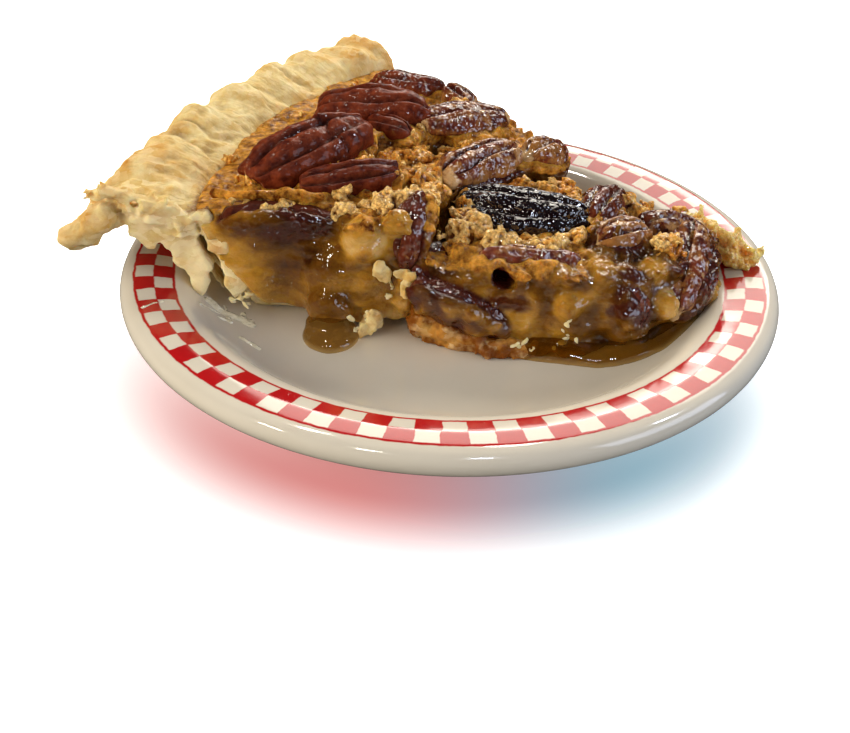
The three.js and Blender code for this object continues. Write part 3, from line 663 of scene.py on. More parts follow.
def baked_pastry(p):
    """Shortcrust of flour and butter, rolled, crimped and baked.
    The eye gets dry pale ivory with blisters, gold on what stands up, and brown where syrup soaked in."""
    material, add, shader, place = blank_material("baked_shortcrust_pastry")
    toasted, soaked, hollow, torn = (
        add("Attribute", attribute_name=key).outputs["Fac"] for key in ("toasted", "soaked", "hollow", "torn")
    )
    # Blotches of butter and flour about 5 mm across.
    blotch = add("TexNoise", {"Vector": place, "Scale": 1 / 5.0, "Detail": 5.0, "Roughness": 0.65})
    fleck = add("TexNoise", {"Vector": place, "Scale": 1 / 1.0, "Detail": 3.0})
    # Fine wrinkles run up the slope, about 1.5 mm apart round the pie.
    centre = (PIE_CENTRE[0] + PLATE_AXIS[0], PIE_CENTRE[1] + PLATE_AXIS[1], 0)
    inward = add("VectorMath", {0: centre, 1: place}, operation="SUBTRACT")
    xyz = add("SeparateXYZ", {0: inward})
    angle = add("Math", {0: xyz.outputs["Y"], 1: xyz.outputs["X"]}, operation="ARCTAN2")
    around = add("Math", {0: angle, 1: RIM_RADIUS}, operation="MULTIPLY")
    slope = add("Math", {0: xyz.outputs["X"], 1: 0.16}, operation="MULTIPLY")
    level = add("Math", {0: xyz.outputs["Z"], 1: 0.25}, operation="MULTIPLY")
    lines = add("CombineXYZ", {"X": around, "Y": slope, "Z": level})
    wrinkle = add("TexNoise", {"Vector": lines, "Scale": 1 / 2.2, "Detail": 3.0, "Distortion": 1.2})
    spread = add("MapRange", {0: blotch, 1: 0.35, 2: 0.65})
    pale = add("Mix", {"Factor": spread, 6: rgba(p.dough_light), 7: rgba(p.dough)}, data_type="RGBA")
    uneven = add("Math", {0: blotch, 1: 1.2, 2: -0.6}, operation="MULTIPLY_ADD")
    heat = add("Math", {0: toasted, 1: uneven}, operation="ADD", use_clamp=True)
    gold = add("Mix", {"Factor": heat, 6: pale, 7: rgba(p.gold)}, data_type="RGBA")
    burnt = add("MapRange", {0: heat, 1: 0.75, 2: 1.25})
    brown = add("Mix", {"Factor": burnt, 6: gold, 7: rgba(p.brown)}, data_type="RGBA")
    # Painted shade darkens the wrinkles' valleys and the crust's hollows towards the crease colour.
    wrinkle_shade = add("MapRange", {0: wrinkle, 1: 0.52, 2: 0.3, 3: 0.0, 4: 0.15})
    shade = add("Math", {0: hollow, 1: 0.45, 2: wrinkle_shade}, operation="MULTIPLY_ADD", use_clamp=True)
    crease_shaded = add("Mix", {"Factor": shade, 6: brown, 7: rgba(p.crease_shade)}, data_type="RGBA")
    # Leaves of dough lie over one another, 2 mm across and half as high.
    flat = add("VectorMath", {0: place, 1: (0.8, 0.8, 1.6)}, operation="MULTIPLY")
    bent = add("TexNoise", {"Vector": flat, "Scale": 1 / 1.5, "Detail": 2.0})
    moved = add("VectorMath", {0: bent.outputs["Color"], 1: (1.6,) * 3, 2: flat}, operation="MULTIPLY_ADD")
    leaf = add("TexVoronoi", {"Vector": moved, "Scale": 1 / 2.0})
    step = add("SeparateColor", {0: leaf.outputs["Color"]})
    mixed = add("Math", {0: step, 1: 0.9, 2: uneven}, operation="MULTIPLY_ADD")
    whitened = add("Math", {0: mixed, 1: -0.45}, operation="ADD")
    white = add("Math", {0: torn, 1: whitened}, operation="ADD", use_clamp=True)
    bare = add("Mix", {"Factor": white, 6: crease_shaded, 7: rgba(p.torn)}, data_type="RGBA")
    fleck_edge = add("Math", {0: fleck, 1: 0.9, 2: -0.45}, operation="MULTIPLY_ADD")
    wet = add("Math", {0: soaked, 1: fleck_edge}, operation="ADD", use_clamp=True)
    syrup_edge = add("MapRange", {0: wet, 1: 0.12, 2: 0.9}, interpolation_type="SMOOTHSTEP")
    grain = add("Math", {0: fleck, 1: 0.4, 2: blotch}, operation="MULTIPLY_ADD")
    height = add("Math", {0: wrinkle, 1: 1.1, 2: grain}, operation="MULTIPLY_ADD")
    bump = add("Bump", {"Height": height, "Strength": 0.8, "Distance": 0.6 * MM})
    strength = add("MapRange", {0: torn, 3: 0.12, 4: 0.7})
    plug(shader, {
        "Base Color": add("Mix", {"Factor": syrup_edge, 6: bare, 7: rgba(p.soaked)}, data_type="RGBA"),
        "Roughness": add("MapRange", {0: syrup_edge, 3: 0.68, 4: 0.2}),
        "Specular IOR Level": 0.12,
        "Subsurface Weight": 0.45,
        "Subsurface Radius": (1.0, 0.75, 0.4),
        "Subsurface Scale": 2.2 * MM,
        "Normal": add("Bump", {"Height": step, "Strength": strength, "Distance": 0.5 * MM, "Normal": bump}),
    })
    return material


def set_filling(p):
    """Eggs, butter and corn syrup, poured and baked until set, then cut.
    The eye gets a wet amber jelly that lets light in, dull gold crust where the top baked dry."""
    material, add, shader, place = blank_material("set_egg_and_syrup_filling")
    amber, crust, nutty, glitter = (
        add("Attribute", attribute_name=key).outputs["Fac"] for key in ("amber", "crust", "nutty", "glitter")
    )
    # Clouds of thicker filling, drawn out along the cut, about 5 mm high.
    streaky = add("VectorMath", {0: place, 1: (0.45, 1, 1)}, operation="MULTIPLY")
    cloud = add("TexNoise", {"Vector": streaky, "Scale": 1 / 5.0, "Detail": 5.0, "Roughness": 0.65})
    grit = add("TexNoise", {"Vector": place, "Scale": 1 / 1.0, "Detail": 3.0})
    drift = add("Math", {0: cloud, 1: 0.8, 2: -0.4}, operation="MULTIPLY_ADD")
    depth = add("Math", {0: amber, 1: drift}, operation="ADD", use_clamp=True)
    ramp = add("ValToRGB", {"Fac": depth})
    ramp.color_ramp.elements[0].color = rgba(p.custard)
    ramp.color_ramp.elements[1].color = rgba(p.dark_amber)
    for position, colour in ((0.33, p.honey), (0.66, p.amber)):
        ramp.color_ramp.elements.new(position).color = rgba(colour)
    # Nuts under the surface show through as purple brown.
    through = add("Math", {0: nutty, 1: drift}, operation="ADD", use_clamp=True)
    jelly = add("Mix", {"Factor": through, 6: ramp, 7: rgba(p.nut_through)}, data_type="RGBA")
    patch = add("TexNoise", {"Vector": place, "Scale": 1 / 2.4, "Detail": 5.0, "Roughness": 0.65})
    baked = add("ValToRGB", {"Fac": patch})
    for stop, position, colour in zip(baked.color_ramp.elements, (0.36, 0.66), (p.crust_brown, p.crust_gold)):
        stop.position = position
        stop.color = rgba(colour)
    ragged = add("Math", {0: grit, 1: 0.8, 2: -0.4}, operation="MULTIPLY_ADD")
    dry = add("Math", {0: crust, 1: ragged}, operation="ADD", use_clamp=True)
    dry_edge = add("MapRange", {0: dry, 1: 0.25, 2: 0.7}, interpolation_type="SMOOTHSTEP")
    fine = add("Math", {0: grit, 1: 0.35, 2: cloud}, operation="MULTIPLY_ADD")
    plug(shader, {
        "Base Color": add("Mix", {"Factor": dry_edge, 6: jelly, 7: baked}, data_type="RGBA"),
        "Roughness": 0.5,
        "Specular IOR Level": 0.03,
        "Subsurface Weight": 0.5,
        "Subsurface Radius": (1.0, 0.5, 0.12),
        "Subsurface Scale": 3.0 * MM,
        "Coat Weight": add("MapRange", {0: dry_edge, 3: 1.0, 4: 0.2}),
        "Coat Roughness": 0.04,
        "Coat IOR": 1.48,
        "Normal": add("Bump", {"Height": fine, "Strength": 1.0, "Distance": 1.0 * MM}),
        "Coat Normal": wet_surface(add, place, glitter, 2.6, 0.9),
    })
    return material


def toasted_crumb(p, name, thin):
    """Sugar and egg foam that rose, set and toasted on top of the filling. Where thin is 1 it lets
    light through and is painted paler, as painted light shining through it. The eye gets porous gold
    beads with sugar glints, darkened in the pits and between the beads by painted shade."""
    material, add, shader, place = blank_material(name)
    hollow, pale = (add("Attribute", attribute_name=key).outputs["Fac"] for key in ("hollow", "pale"))
    bead = add("TexVoronoi", {"Vector": place, "Scale": 1 / 0.8})
    patch = add("TexNoise", {"Vector": place, "Scale": 1 / 4.5, "Detail": 5.0, "Roughness": 0.7})
    # pale is painted light and highlight: it moves the colour towards the paler end of the ramp.
    baked = add("Math", {0: pale, 1: 0.16, 2: patch}, operation="MULTIPLY_ADD", use_clamp=True)
    ramp = add("ValToRGB", {"Fac": baked})
    # Thin crumb is painted paler, as painted light shining through it.
    early = 0.12 * thin
    ramp.color_ramp.elements[0].position = 0.38 - early
    ramp.color_ramp.elements[0].color = rgba(p.crumb_orange)
    ramp.color_ramp.elements[1].position = 0.66 - early
    ramp.color_ramp.elements[1].color = rgba(p.crumb_pale)
    ramp.color_ramp.elements.new(0.52 - early).color = rgba(p.crumb_gold)
    each = add("SeparateColor", {0: bead.outputs["Color"]})
    shade = add("MapRange", {0: each, 3: 0.7 + 0.25 * thin, 4: 1.2})
    varied = add("VectorMath", {0: ramp, 3: shade}, operation="SCALE")
    # Painted shade between the beads and in the hollows, less where the crumb is thin.
    gap = add("MapRange", {0: bead, 1: 0.45, 2: 0.8, 3: 0.0, 4: 0.45 - 0.2 * thin})
    pits = add("Math", {0: hollow, 1: 1.0 - 0.8 * thin, 2: gap}, operation="MULTIPLY_ADD", use_clamp=True)
    bump = {"Height": bead, "Strength": 1.0, "Distance": 0.8 * MM}
    plug(shader, {
        "Base Color": add("Mix", {"Factor": pits, 6: varied, 7: rgba(p.crumb_pit_shade)}, data_type="RGBA"),
        "Roughness": 0.6,
        "Specular IOR Level": 0.03,
        "Subsurface Weight": 0.25 + 0.45 * thin,
        "Subsurface Radius": (0.8, 0.75, 0.6),
        "Subsurface Scale": (1.2 + 2.4 * thin) * MM,
        "Coat Weight": 0.6,
        "Coat Roughness": 0.05,
        "Normal": add("Bump", bump, invert=True),
        "Coat Normal": wet_surface(add, place, 1.1, 2.0, 0.5),
    })
    return material


def clear_syrup(p):
    """Corn syrup that wept from the filling. The eye gets clear amber with a hard wet shine."""
    material, add, shader, place = blank_material("clear_corn_syrup")
    cloud = add("TexNoise", {"Vector": place, "Scale": 1 / 4.0, "Detail": 3.0})
    amber = add("Attribute", attribute_name="amber").outputs["Fac"]
    colours = {"Factor": amber, 6: rgba(p.syrup_pale), 7: rgba(p.syrup)}
    plug(shader, {
        "Base Color": add("Mix", colours, data_type="RGBA"),
        "Roughness": 0.04,
        "IOR": 1.46,
        "Transmission Weight": 0.75,
        "Normal": add("Bump", {"Height": cloud, "Strength": 0.3, "Distance": 0.5 * MM}),
    })
    return material


def syrup_film(p):
    """Corn syrup wiped thin on the plate, its colour painted paler than the glaze under it as painted
    sheen. The eye gets a pale wet streak with white glints.
    """
    material, add, shader, place = blank_material("wiped_film_of_syrup")
    ripple = add("TexNoise", {"Vector": place, "Scale": 1 / 1.2, "Detail": 3.0})
    bump = add("Bump", {"Height": ripple, "Strength": 1.0, "Distance": 0.8 * MM})
    plug(shader, {
        "Base Color": rgba(p.film),
        "Roughness": 0.15,
        "Coat Weight": 1.0,
        "Coat Roughness": 0.03,
        "Normal": bump,
        "Coat Normal": bump,
    })
    return material


def wet_surface(add, place, glitter, size, height):
    """The normal of a wet glaze: ripples, and grains of sugar that each face their own way.
    Grains are under half a millimetre and are drawn at 0.8, so that they show."""
    ripple = add("TexNoise", {"Vector": place, "Scale": 1 / size, "Detail": 1.0})
    rippled = add("Bump", {"Height": ripple, "Strength": 1.0, "Distance": height * MM})
    grain = add("TexVoronoi", {"Vector": place, "Scale": 1 / 0.8})
    aside = add("VectorMath", {0: grain.outputs["Color"], 1: (0.5,) * 3}, operation="SUBTRACT")
    tilt = add("VectorMath", {0: aside, 3: glitter}, operation="SCALE")
    tipped = add("VectorMath", {0: rippled, 1: tilt}, operation="ADD")
    return add("VectorMath", {0: tipped}, operation="NORMALIZE")


def glazed_pecan(p, name, sugar):
    """Pecan halves, toasted in the oven and glazed with syrup; sugar says how much of it set on them.
    The eye gets red brown skin with long soft wrinkles under a thin glaze, ivory flesh where it broke."""
    material, add, shader, place = blank_material(name)
    dark, bare, hollow, caramel = (
        add("Attribute", attribute_name=key).outputs["Fac"] for key in ("dark", "bare", "hollow", "caramel")
    )
    streak = add("TexNoise", {"Vector": place, "Scale": 1 / 2.2, "Detail": 4.0, "Roughness": 0.6})
    spread = add("MapRange", {0: streak, 1: 0.35, 2: 0.7})
    skin = add("Mix", {"Factor": spread, 6: rgba(p.skin), 7: rgba(p.skin_light)}, data_type="RGBA")
    deep = add("Mix", {"Factor": dark, 6: skin, 7: rgba(p.burnt)}, data_type="RGBA")
    # Painted shade darkens the furrows towards the crease colour.
    pits = add("Math", {0: hollow, 1: 0.9}, operation="MULTIPLY", use_clamp=True)
    crease_shaded = add("Mix", {"Factor": pits, 6: deep, 7: rgba(p.crease_shade)}, data_type="RGBA")
    # Caramel set in patches about 3 mm across.
    patch = add("TexNoise", {"Vector": place, "Scale": 1 / 3.0, "Detail": 4.0, "Roughness": 0.65})
    uneven = add("Math", {0: patch, 1: 2.0, 2: -1.0}, operation="MULTIPLY_ADD")
    on_top = add("Math", {0: pits, 1: -0.8, 2: caramel}, operation="MULTIPLY_ADD")
    amount = add("Math", {0: on_top, 1: uneven}, operation="ADD", use_clamp=True)
    set_on = add("MapRange", {0: amount, 1: 0.35, 2: 0.8}, interpolation_type="SMOOTHSTEP")
    crusted = add("Mix", {"Factor": set_on, 6: crease_shaded, 7: rgba(p.caramel)}, data_type="RGBA")
    ragged = add("Math", {0: streak, 1: 1.4, 2: -0.7}, operation="MULTIPLY_ADD")
    broken = add("Math", {0: bare, 1: ragged}, operation="ADD", use_clamp=True)
    edge = add("MapRange", {0: broken, 1: 0.38, 2: 0.66}, interpolation_type="SMOOTHSTEP")
    # The sugar grains lie in patches some 6 mm across.
    where = add("TexNoise", {"Vector": place, "Scale": 1 / 6.0, "Detail": 2.0})
    glitter = add("MapRange", {0: where, 1: 0.44, 2: 0.56, 3: 0.04, 4: 0.04 + 0.7 * sugar})
    plug(shader, {
        "Base Color": add("Mix", {"Factor": edge, 6: crusted, 7: rgba(p.flesh)}, data_type="RGBA"),
        "Roughness": 0.5,
        "Specular IOR Level": 0.04,
        "Coat Weight": 0.32 + 0.68 * sugar,
        "Coat Roughness": 0.07 - 0.02 * sugar,
        "Coat IOR": 1.4 + 0.25 * sugar,
        "Normal": add("Bump", {"Height": streak, "Strength": 1.0, "Distance": 0.6 * MM}),
        "Coat Normal": wet_surface(add, place, glitter, 1.8, 0.5 + 0.6 * sugar),
    })
    return material


def backlit_acrylic(p):
    """Translucent white acrylic, lit from below, with a painted coloured shadow round the plate's foot.
    It gives an even white ground without hard shadows."""
    material, add, shader, place = blank_material("backlit_white_acrylic")
    away = add("VectorMath", {0: place, 1: tuple(PLATE_AXIS)}, operation="SUBTRACT")
    radius = add("VectorMath", {0: away}, operation="LENGTH")
    xyz = add("SeparateXYZ", {0: away})
    # Painted shadow: strongest close to the plate and in front of it, reddish at the left, bluish at the
    # right.
    near = add("MapRange", {0: radius, 1: 60.0, 2: 86.0, 3: 1.0, 4: 0.0}, interpolation_type="SMOOTHSTEP")
    front = add("MapRange", {0: xyz.outputs["Y"], 1: 20.0, 2: -60.0}, interpolation_type="SMOOTHSTEP")
    amount = add("Math", {0: near, 1: front}, operation="MULTIPLY")
    side = add("MapRange", {0: xyz.outputs["X"], 1: -20.0, 2: 40.0}, interpolation_type="SMOOTHSTEP")
    tint = add("Mix", {"Factor": side, 6: rgba(p.shadow_tint_left), 7: rgba(p.shadow_tint_right)}, data_type="RGBA")
    colour = add("Mix", {"Factor": amount, 6: rgba(p.paper), 7: tint}, data_type="RGBA")
    plug(shader, {
        "Base Color": colour,
        "Emission Color": colour,
        "Emission Strength": 0.85,
        "Roughness": 0.6,
        "Specular IOR Level": 0.0,
    })
    return material


# ---- the plate ------------------------------------------------------------------------------------
def plate_sections():
    """Half sections as (distance from the axis, height): the underside, then the eating side."""
    r, h, f = PLATE_RADIUS, PLATE_HEIGHT, FOOT_RADIUS
    under = [
        (0, 4), (f - 4.5, 3.8), (f - 3.6, 0), (f - 0.2, 0), (f + 1.2, 1.2), (f + 3, 3.4), (f + 9, 4.9),
        (f + 16, 8.4), (f + 23, 10.8), (r - 2.6, 11.6), (r - 0.6, 13.2), (r, 15.4), (r - 0.8, 17.2),
    ]
    eating = [
        (r - 3, h), (r - 7.0, h - 0.06), (r - 11.8, h - 1.06), (r - 13.4, h - 1.5), (r - 15.2, h - 2.8),
        (r - 17.4, h - 5), (r - 20, h - 7), (r - 23.5, h - 8.3), (r - 28, FLOOR_TOP), (0, FLOOR_TOP),
    ]
    return under, eating


def plate_rise(x, y):
    """Height of the eating side above the well's floor, for food that lies on it."""
    eating = np.array(plate_sections()[1][::-1])
    return np.interp(np.hypot(x, y), eating[:, 0], eating[:, 1]) - FLOOR_TOP


def build_plate(p):
    """The plate, turned round its axis."""
    around = 220
    under, eating = plate_sections()
    profile = softened(under + eating, 0.2, 0.75)[1:-1]
    # Rings lie close together where the rim curves.
    close = (profile[:, 0] > PLATE_RADIUS - 21) & (profile[:, 1] > 7)
    count = np.arange(len(profile))
    profile = profile[np.where(close, count % 3 == 0, count % 12 == 0)]
    turn = np.linspace(0, 2 * math.pi, around, endpoint=False)
    rings = np.stack([
        profile[:, :1] * np.cos(turn), profile[:, :1] * np.sin(turn),
        np.repeat(profile[:, 1:], around, axis=1),
    ], axis=-1)
    points = np.concatenate([rings.reshape(-1, 3), [(0, 0, under[0][1]), (0, 0, FLOOR_TOP)]])
    faces = grid_faces(len(profile), around).tolist()
    last = (len(profile) - 1) * around
    for i in range(around):
        j = (i + 1) % around
        faces.append((len(points) - 2, j, i))
        faces.append((len(points) - 1, last + i, last + j))
    piece = new_piece("side_plate", points, faces, glazed_china(p))
    served(piece, "glazed_china", "plate")


SHARED = {}  # fields that more than one operator needs


# ---- the pastry -----------------------------------------------------------------------------------
def flute_at(angle):
    """How far the rim's flutes stand up in that direction."""
    return sum(up * bell(angle, at, half) for at, up, half in FLUTES)


def shell_section(count):
    """Section of the shell as (distance from the pie's centre, height): the underside out to the
    rim's edge, and the inside back from there. Both have the same number of points."""
    e = RIM_RADIUS
    lower = [
        (BREAK_RADIUS, BASE_BOTTOM), (90, BASE_BOTTOM), (e - 26, BASE_BOTTOM + 0.3), (e - 20, 12),
        (e - 15.5, 17), (e - 11.5, 22.3), (e - 8.5, 25.6), (e - 5, 27), (e, 27.4), (e + 3.8, 28.4),
        (e + 5, 30.6),
    ]
    upper = [
        (e + 5, 30.6), (e + 3.6, 33.2), (e + 0.8, RIM_TOP), (e - 2.4, RIM_TOP + 0.4),
        (e - 6.6, RIM_TOP - 0.8), (e - 11.4, RIM_TOP - 2.4), (e - 15, 30.6), (e - 17, 26.4),
        (e - 19.6, 21), (e - 22.6, 16.8), (e - 26.5, 14.4), (90, BASE_TOP + 0.1),
        (BREAK_RADIUS, BASE_TOP),
    ]
    whole = softened(lower + upper[1:], 0.2, 1.1)
    turn = np.argmax(whole[:, 0])
    return resampled(whole[:turn + 1], count), resampled(whole[turn:], count)


def shell_mesh():
    """The shell swept round the pie's centre, with its flutes, wrinkles and blisters."""
    count, rings = 130, 280
    lower, upper = shell_section(count)
    loop = np.concatenate([lower, upper[1:-1]])
    following = np.roll(loop, -1, axis=0) - np.roll(loop, 1, axis=0)
    following /= np.linalg.norm(following, axis=1, keepdims=True)
    normal = np.stack([following[:, 1], -following[:, 0]], axis=1)
    angle = np.linspace(NEAR_ANGLE, FAR_ANGLE, rings)[:, None]
    radius, height = loop[None, :, 0], loop[None, :, 1]
    along = np.concatenate([[0], np.cumsum(np.linalg.norm(np.diff(loop, axis=0), axis=1))])[None]

    rim = smooth(radius, 116, 128) * smooth(height, 25, 30)
    crest = flute_at(angle)
    flap = smooth(angle, 172, 183)
    sunk = smooth(angle, 165, 184) * smooth(radius, 95, 112)
    upright = 1 - smooth(angle, 152, 172)
    soft = np.where(height > BASE_BOTTOM + 0.1, 0.35, 0)
    out = rim * (crest * 0.4 - 1) + flap * 8.4 * smooth(radius, 114, 130)
    out = out - upright * 3.4 * smooth(radius, 104, 120)
    up = rim * (crest - 1.4 + upright * 0.7) - sunk * 1.5
    # The flap bends down towards its edge, and is thin where it leaves the wall.
    up = up - flap * 3.8 * smooth(radius, 122, 131)
    up = up + flap * 3.4 * bell(radius, 121.5, 3.2) * (1 - smooth(height, 28, 31))
    # The far end stands up as a thick knob.
    up = up + 2.8 * (1 - smooth(angle, 138, 146)) * bell(radius, 117, 5) * smooth(height, 27, 31)

    # Places on the sheet of pastry in millimetres: round the rim, and along its section.
    sheet = np.stack(np.broadcast_arrays(angle * 2.15, along, 0 * angle * along), axis=-1).reshape(-1, 3)
    bent = sheet + 2.6 * np.stack([noise(sheet, 9, 11), noise(sheet, 9, 12), 0 * sheet[:, 0]], axis=1)
    bent[:, 0] += 0.15 * bent[:, 1]
    creases = 1.0 * bell(noise(bent * (1, 0.2, 1), 4.4, 13), 0, 0.2)
    creases += 0.5 * bell(noise(bent * (1, 0.3, 1), 2.6, 14), 0, 0.3)
    creases *= 0.7 + 0.7 * noise(sheet, 10, 15)
    pleats = (0.9 * noise(bent * (1, 0.16, 1), 5.5, 16) - creases).reshape(rings, -1)
    inside_slope = smooth(radius, 111, 117) * smooth(height, 29, 31.5)
    inside_slope = inside_slope * (1 - 0.45 * smooth(radius, 125, 131))
    # Near the cut the top layer is smooth, and ends in a thin lip that laps over the folds.
    lap = 171.4 + 1.3 * np.sin(radius * 0.3 + 0.6) + 0.5 * np.sin(radius * 0.83)
    layer = smooth(angle - lap, 0, 0.4) * inside_slope
    folds = 1.0 * pleats * inside_slope * (1 - 0.6 * layer)
    lip = 1.0 * layer * (1 - smooth(angle - lap, 1.5, 6))
    blisters = 0.75 * fractal(sheet, 8, 4, 21).reshape(rings, -1) * smooth(height, 14, 24)
    grow = folds + lip + blisters * (0.45 + 0.6 * rim)

    r = radius + out + 0.5 * wobble(angle * 0.9, radius * 0.4, height, 3) + normal[None, :, 0] * grow
    bowed = 3 * smooth(angle, 165, 184) * bell(radius, 76, 16)
    ragged = smooth(angle, 182, 184) * 0.55 * wobble(radius * 0.9, height * 1.1, 0, 7)
    a = np.radians(angle + bowed + ragged)
    x = PIE_CENTRE[0] + r * np.cos(a)
    y = PIE_CENTRE[1] + r * np.sin(a)
    lying = plate_rise(x, y) * (1 - smooth(height, 13, 26))
    uneven = soft * wobble(angle * 1.1, radius * 0.35, height * 0.6, 5)
    z = height + up + uneven + lying + normal[None, :, 1] * grow
    points = np.stack([x, y, z], axis=-1).reshape(-1, 3)

    size = loop.shape[0]
    faces = grid_faces(rings, size)
    i = np.arange(count - 1)
    back = (size - i) % size
    near_end = np.stack([i, back, (size - i - 1) % size, i + 1], axis=1)
    far_end = np.stack([i, i + 1, (size - i - 1) % size, back], axis=1) + (rings - 1) * size
    return points, np.concatenate([faces, near_end, far_end])


def polar(points):
    """Distance from the pie's centre and direction in degrees."""
    away = points[:, :2] - PIE_CENTRE
    return np.hypot(away[:, 0], away[:, 1]), np.degrees(np.arctan2(away[:, 1], away[:, 0])) % 360


def shell_field():
    """The shell with its torn end, its tatters and the flakes that stand off them."""
    field = Field((-88, -24, 6), (22, 98, 46))
    points, quads = shell_mesh()
    field.mesh_in(points, quads)
    near = math.radians(NEAR_ANGLE)
    part, (x, y, z) = field.window((-62, -22, 6), (-36, 8, 32))
    across = (x - PIE_CENTRE[0]) * math.cos(near) + (y - PIE_CENTRE[1]) * math.sin(near)
    depth = -(x - PIE_CENTRE[0]) * math.sin(near) + (y - PIE_CENTRE[1]) * math.cos(near)
    flat = outline_distance(across[:, :, 0][:, :, None], z, np.array(TEAR, float))
    field.cut(part, np.maximum(flat, -TEAR_DEPTH - depth), 0.4)
    # The rolled end of the flap.
    strand(field, [(-77.6, -12.4, 25.4), (-74.4, -12, 27.2), (-70.8, -11.2, 30.2)], 2.7, 1.4)
    for outline, front, back in ((TONGUE, -13.2, -10.2), (TATTER, -12.8, -10.2)):
        part, (x, y, z) = field.window((-70, -18, 8), (-34, -4, 38))
        lean = 0.12 * (z - 24) + 0.5 * wobble(x * 0.7, 0 * y, z * 0.7, 3)
        plane = outline_distance(*np.broadcast_arrays(x[:, 0], z[0]), closed_curve(outline, 5))
        plane = plane + 0.4 * wobble(x[:, 0] * 3.1, 0, z[0] * 2.7, 6)
        sheet = np.maximum(front + lean - y, y - back - lean)
        field.join(part, soft_max(plane[:, None, :], sheet, 0.6), 1.2)
    # Thin flakes of dough stand off the torn edge.
    random = np.random.default_rng(5)
    for _ in range(46):
        t = random.random()
        at = np.array([-69 + 15 * t, -11.6 + 2 * random.random(), 31.5 - 5 * t + 4.5 * random.random()])
        turn = turned((random.uniform(-40, 40), random.uniform(-35, 35), random.uniform(-70, 30)))
        half = (random.uniform(1.4, 3.6), random.uniform(1.0, 2.2), random.uniform(0.3, 0.45))
        field.ball(at, half, blend=0.15, turn=turn)
    part, (x, y, z) = field.window((-56, -20, 14), (-42, -6, 30))
    crack = outline_distance(*np.broadcast_arrays(x[:, 0], z[0]), closed_curve(CRACK, 4))
    field.cut(part, np.broadcast_to(crack[:, None, :], field.dist[part].shape), 0.2)

    def flaky(at):
        radius, angle = polar(at)
        cut_face = smooth(angle, 176, 183) * smooth(at[:, 2], 24, 30)
        torn = 0.5 * fractal(at, 3.2, 3, 31) + 0.3 * noise(at, 1.1, 36)
        torn = (torn + 0.5 * np.abs(noise(at * (0.6, 1, 1.5), 1.7, 39))) * cut_face
        layers = noise(at * (0.35, 0.35, 1.0), 1.5, 33)
        flakes = 0.3 * np.sign(layers) * smooth(np.abs(layers), 0.05, 0.3) * smooth(angle, 168, 178)
        sheet = np.stack([angle * 2.15, radius * 0.45, at[:, 2] * 0.45], axis=1)
        puckers = 0.4 * (0.42 - np.abs(noise(sheet, 3.4, 37))) + 0.3 * fractal(at, 2.4, 2, 38)
        puckers = puckers * smooth(radius, 108, 113) * smooth(at[:, 2], 26, 30) * (1 - cut_face)
        blistered = 0.4 * fractal(at, 2.6, 3, 40) * smooth(radius, 127, 131) * smooth(angle, 172, 178)
        return torn + flakes * 0.6 + 0.12 * noise(at, 1.3, 35) + puckers + blistered

    field.swell(flaky)
    return field


def build_pastry(material):
    """The crust end of the shell."""
    field = SHARED["shell"] = shell_field()
    points, quads = field.surface()
    proud = np.clip(field.sample(points, field.blurred(6)) / 0.5, -1, 1)
    radius, angle = polar(points)
    y, z = points[:, 1], points[:, 2]
    rough = fractal(points, 9, 3, 41)
    knob = 1 - smooth(angle, 136, 142)
    flap_end = smooth(angle, 176, 183) * smooth(radius, 129, 136)
    crest = smooth(z, 34.5, 39)
    toasted = -0.15 + 0.35 * crest + 0.35 * np.clip(proud, 0, 1) + 0.3 * knob + 0.4 * flap_end
    toasted += 0.4 * rough + 0.35 * smooth(radius, 125, 131) * smooth(z, 28, 33)
    toasted += 0.36 * smooth(angle, 165, 174) * (1 - smooth(angle, 178, 182))
    toasted += 0.25 * fractal(points, 3.2, 2, 42)
    toasted *= smooth(z, 20, 28)
    torn = (1 - smooth(y, -9.5, -7.5)) * (1 - smooth(radius, 122, 129)) * (1 - smooth(z, 31, 35))
    toasted = toasted * (1 - torn) + (0.3 + 0.5 * fractal(points, 4, 2, 44)) * torn
    torn = torn * (0.7 + 0.5 * fractal(points, 3.4, 3, 43))
    junction = np.interp(angle, [134, 160, 172, 184], [104.5, 107, 110, 114.5])
    soaked = 1 - smooth(radius - junction - 2.6 * rough, -2, 5)
    soaked = soaked * smooth(z, 25, 31) * smooth(y, -13, -8)
    # The material paints shade where hollow is high.
    values = {"toasted": toasted, "soaked": soaked, "hollow": np.clip(-proud, 0, 1), "torn": torn}
    piece = new_piece("pastry_crust", points, quads, material, values)
    served(piece, "baked_pastry", "pastry_shell")


# ---- the filling ----------------------------------------------------------------------------------
def slab(field, outline, bottom, top_at, bulge, flare, seed):
    """Joins a slab of filling: an outline in plan, a bulging side, and an uneven top."""
    part, (x, y, z) = field.whole()
    plan = outline_distance(x, y, closed_curve(outline))
    top = top_at(x, y)
    t = np.clip((z - bottom) / (top - bottom), 0, 1)
    out = bulge * np.sin(math.pi * np.minimum(1, t * 1.15 + 0.05)) + flare * (1 - smooth(t, 0, 0.25))
    side = plan - out - 0.9 * wobble(x * 0.8, y * 0.8, z * 0.9, seed)
    shape = soft_max(soft_max(side, z - top, 2.2), bottom - z, 0.6)
    field.join(part, shape)


def back_top(x, y):
    """Height of the top of the lump that stands in the shell."""
    away = np.hypot(x - PIE_CENTRE[0], y - PIE_CENTRE[1])
    return (
        FILLING_TOP + 0.7 * wobble(x * 0.7, y * 0.7, 2, 4)
        - 3.2 * smooth(x, 4, 26) - 1.8 * smooth(away, 88, 108)
    )


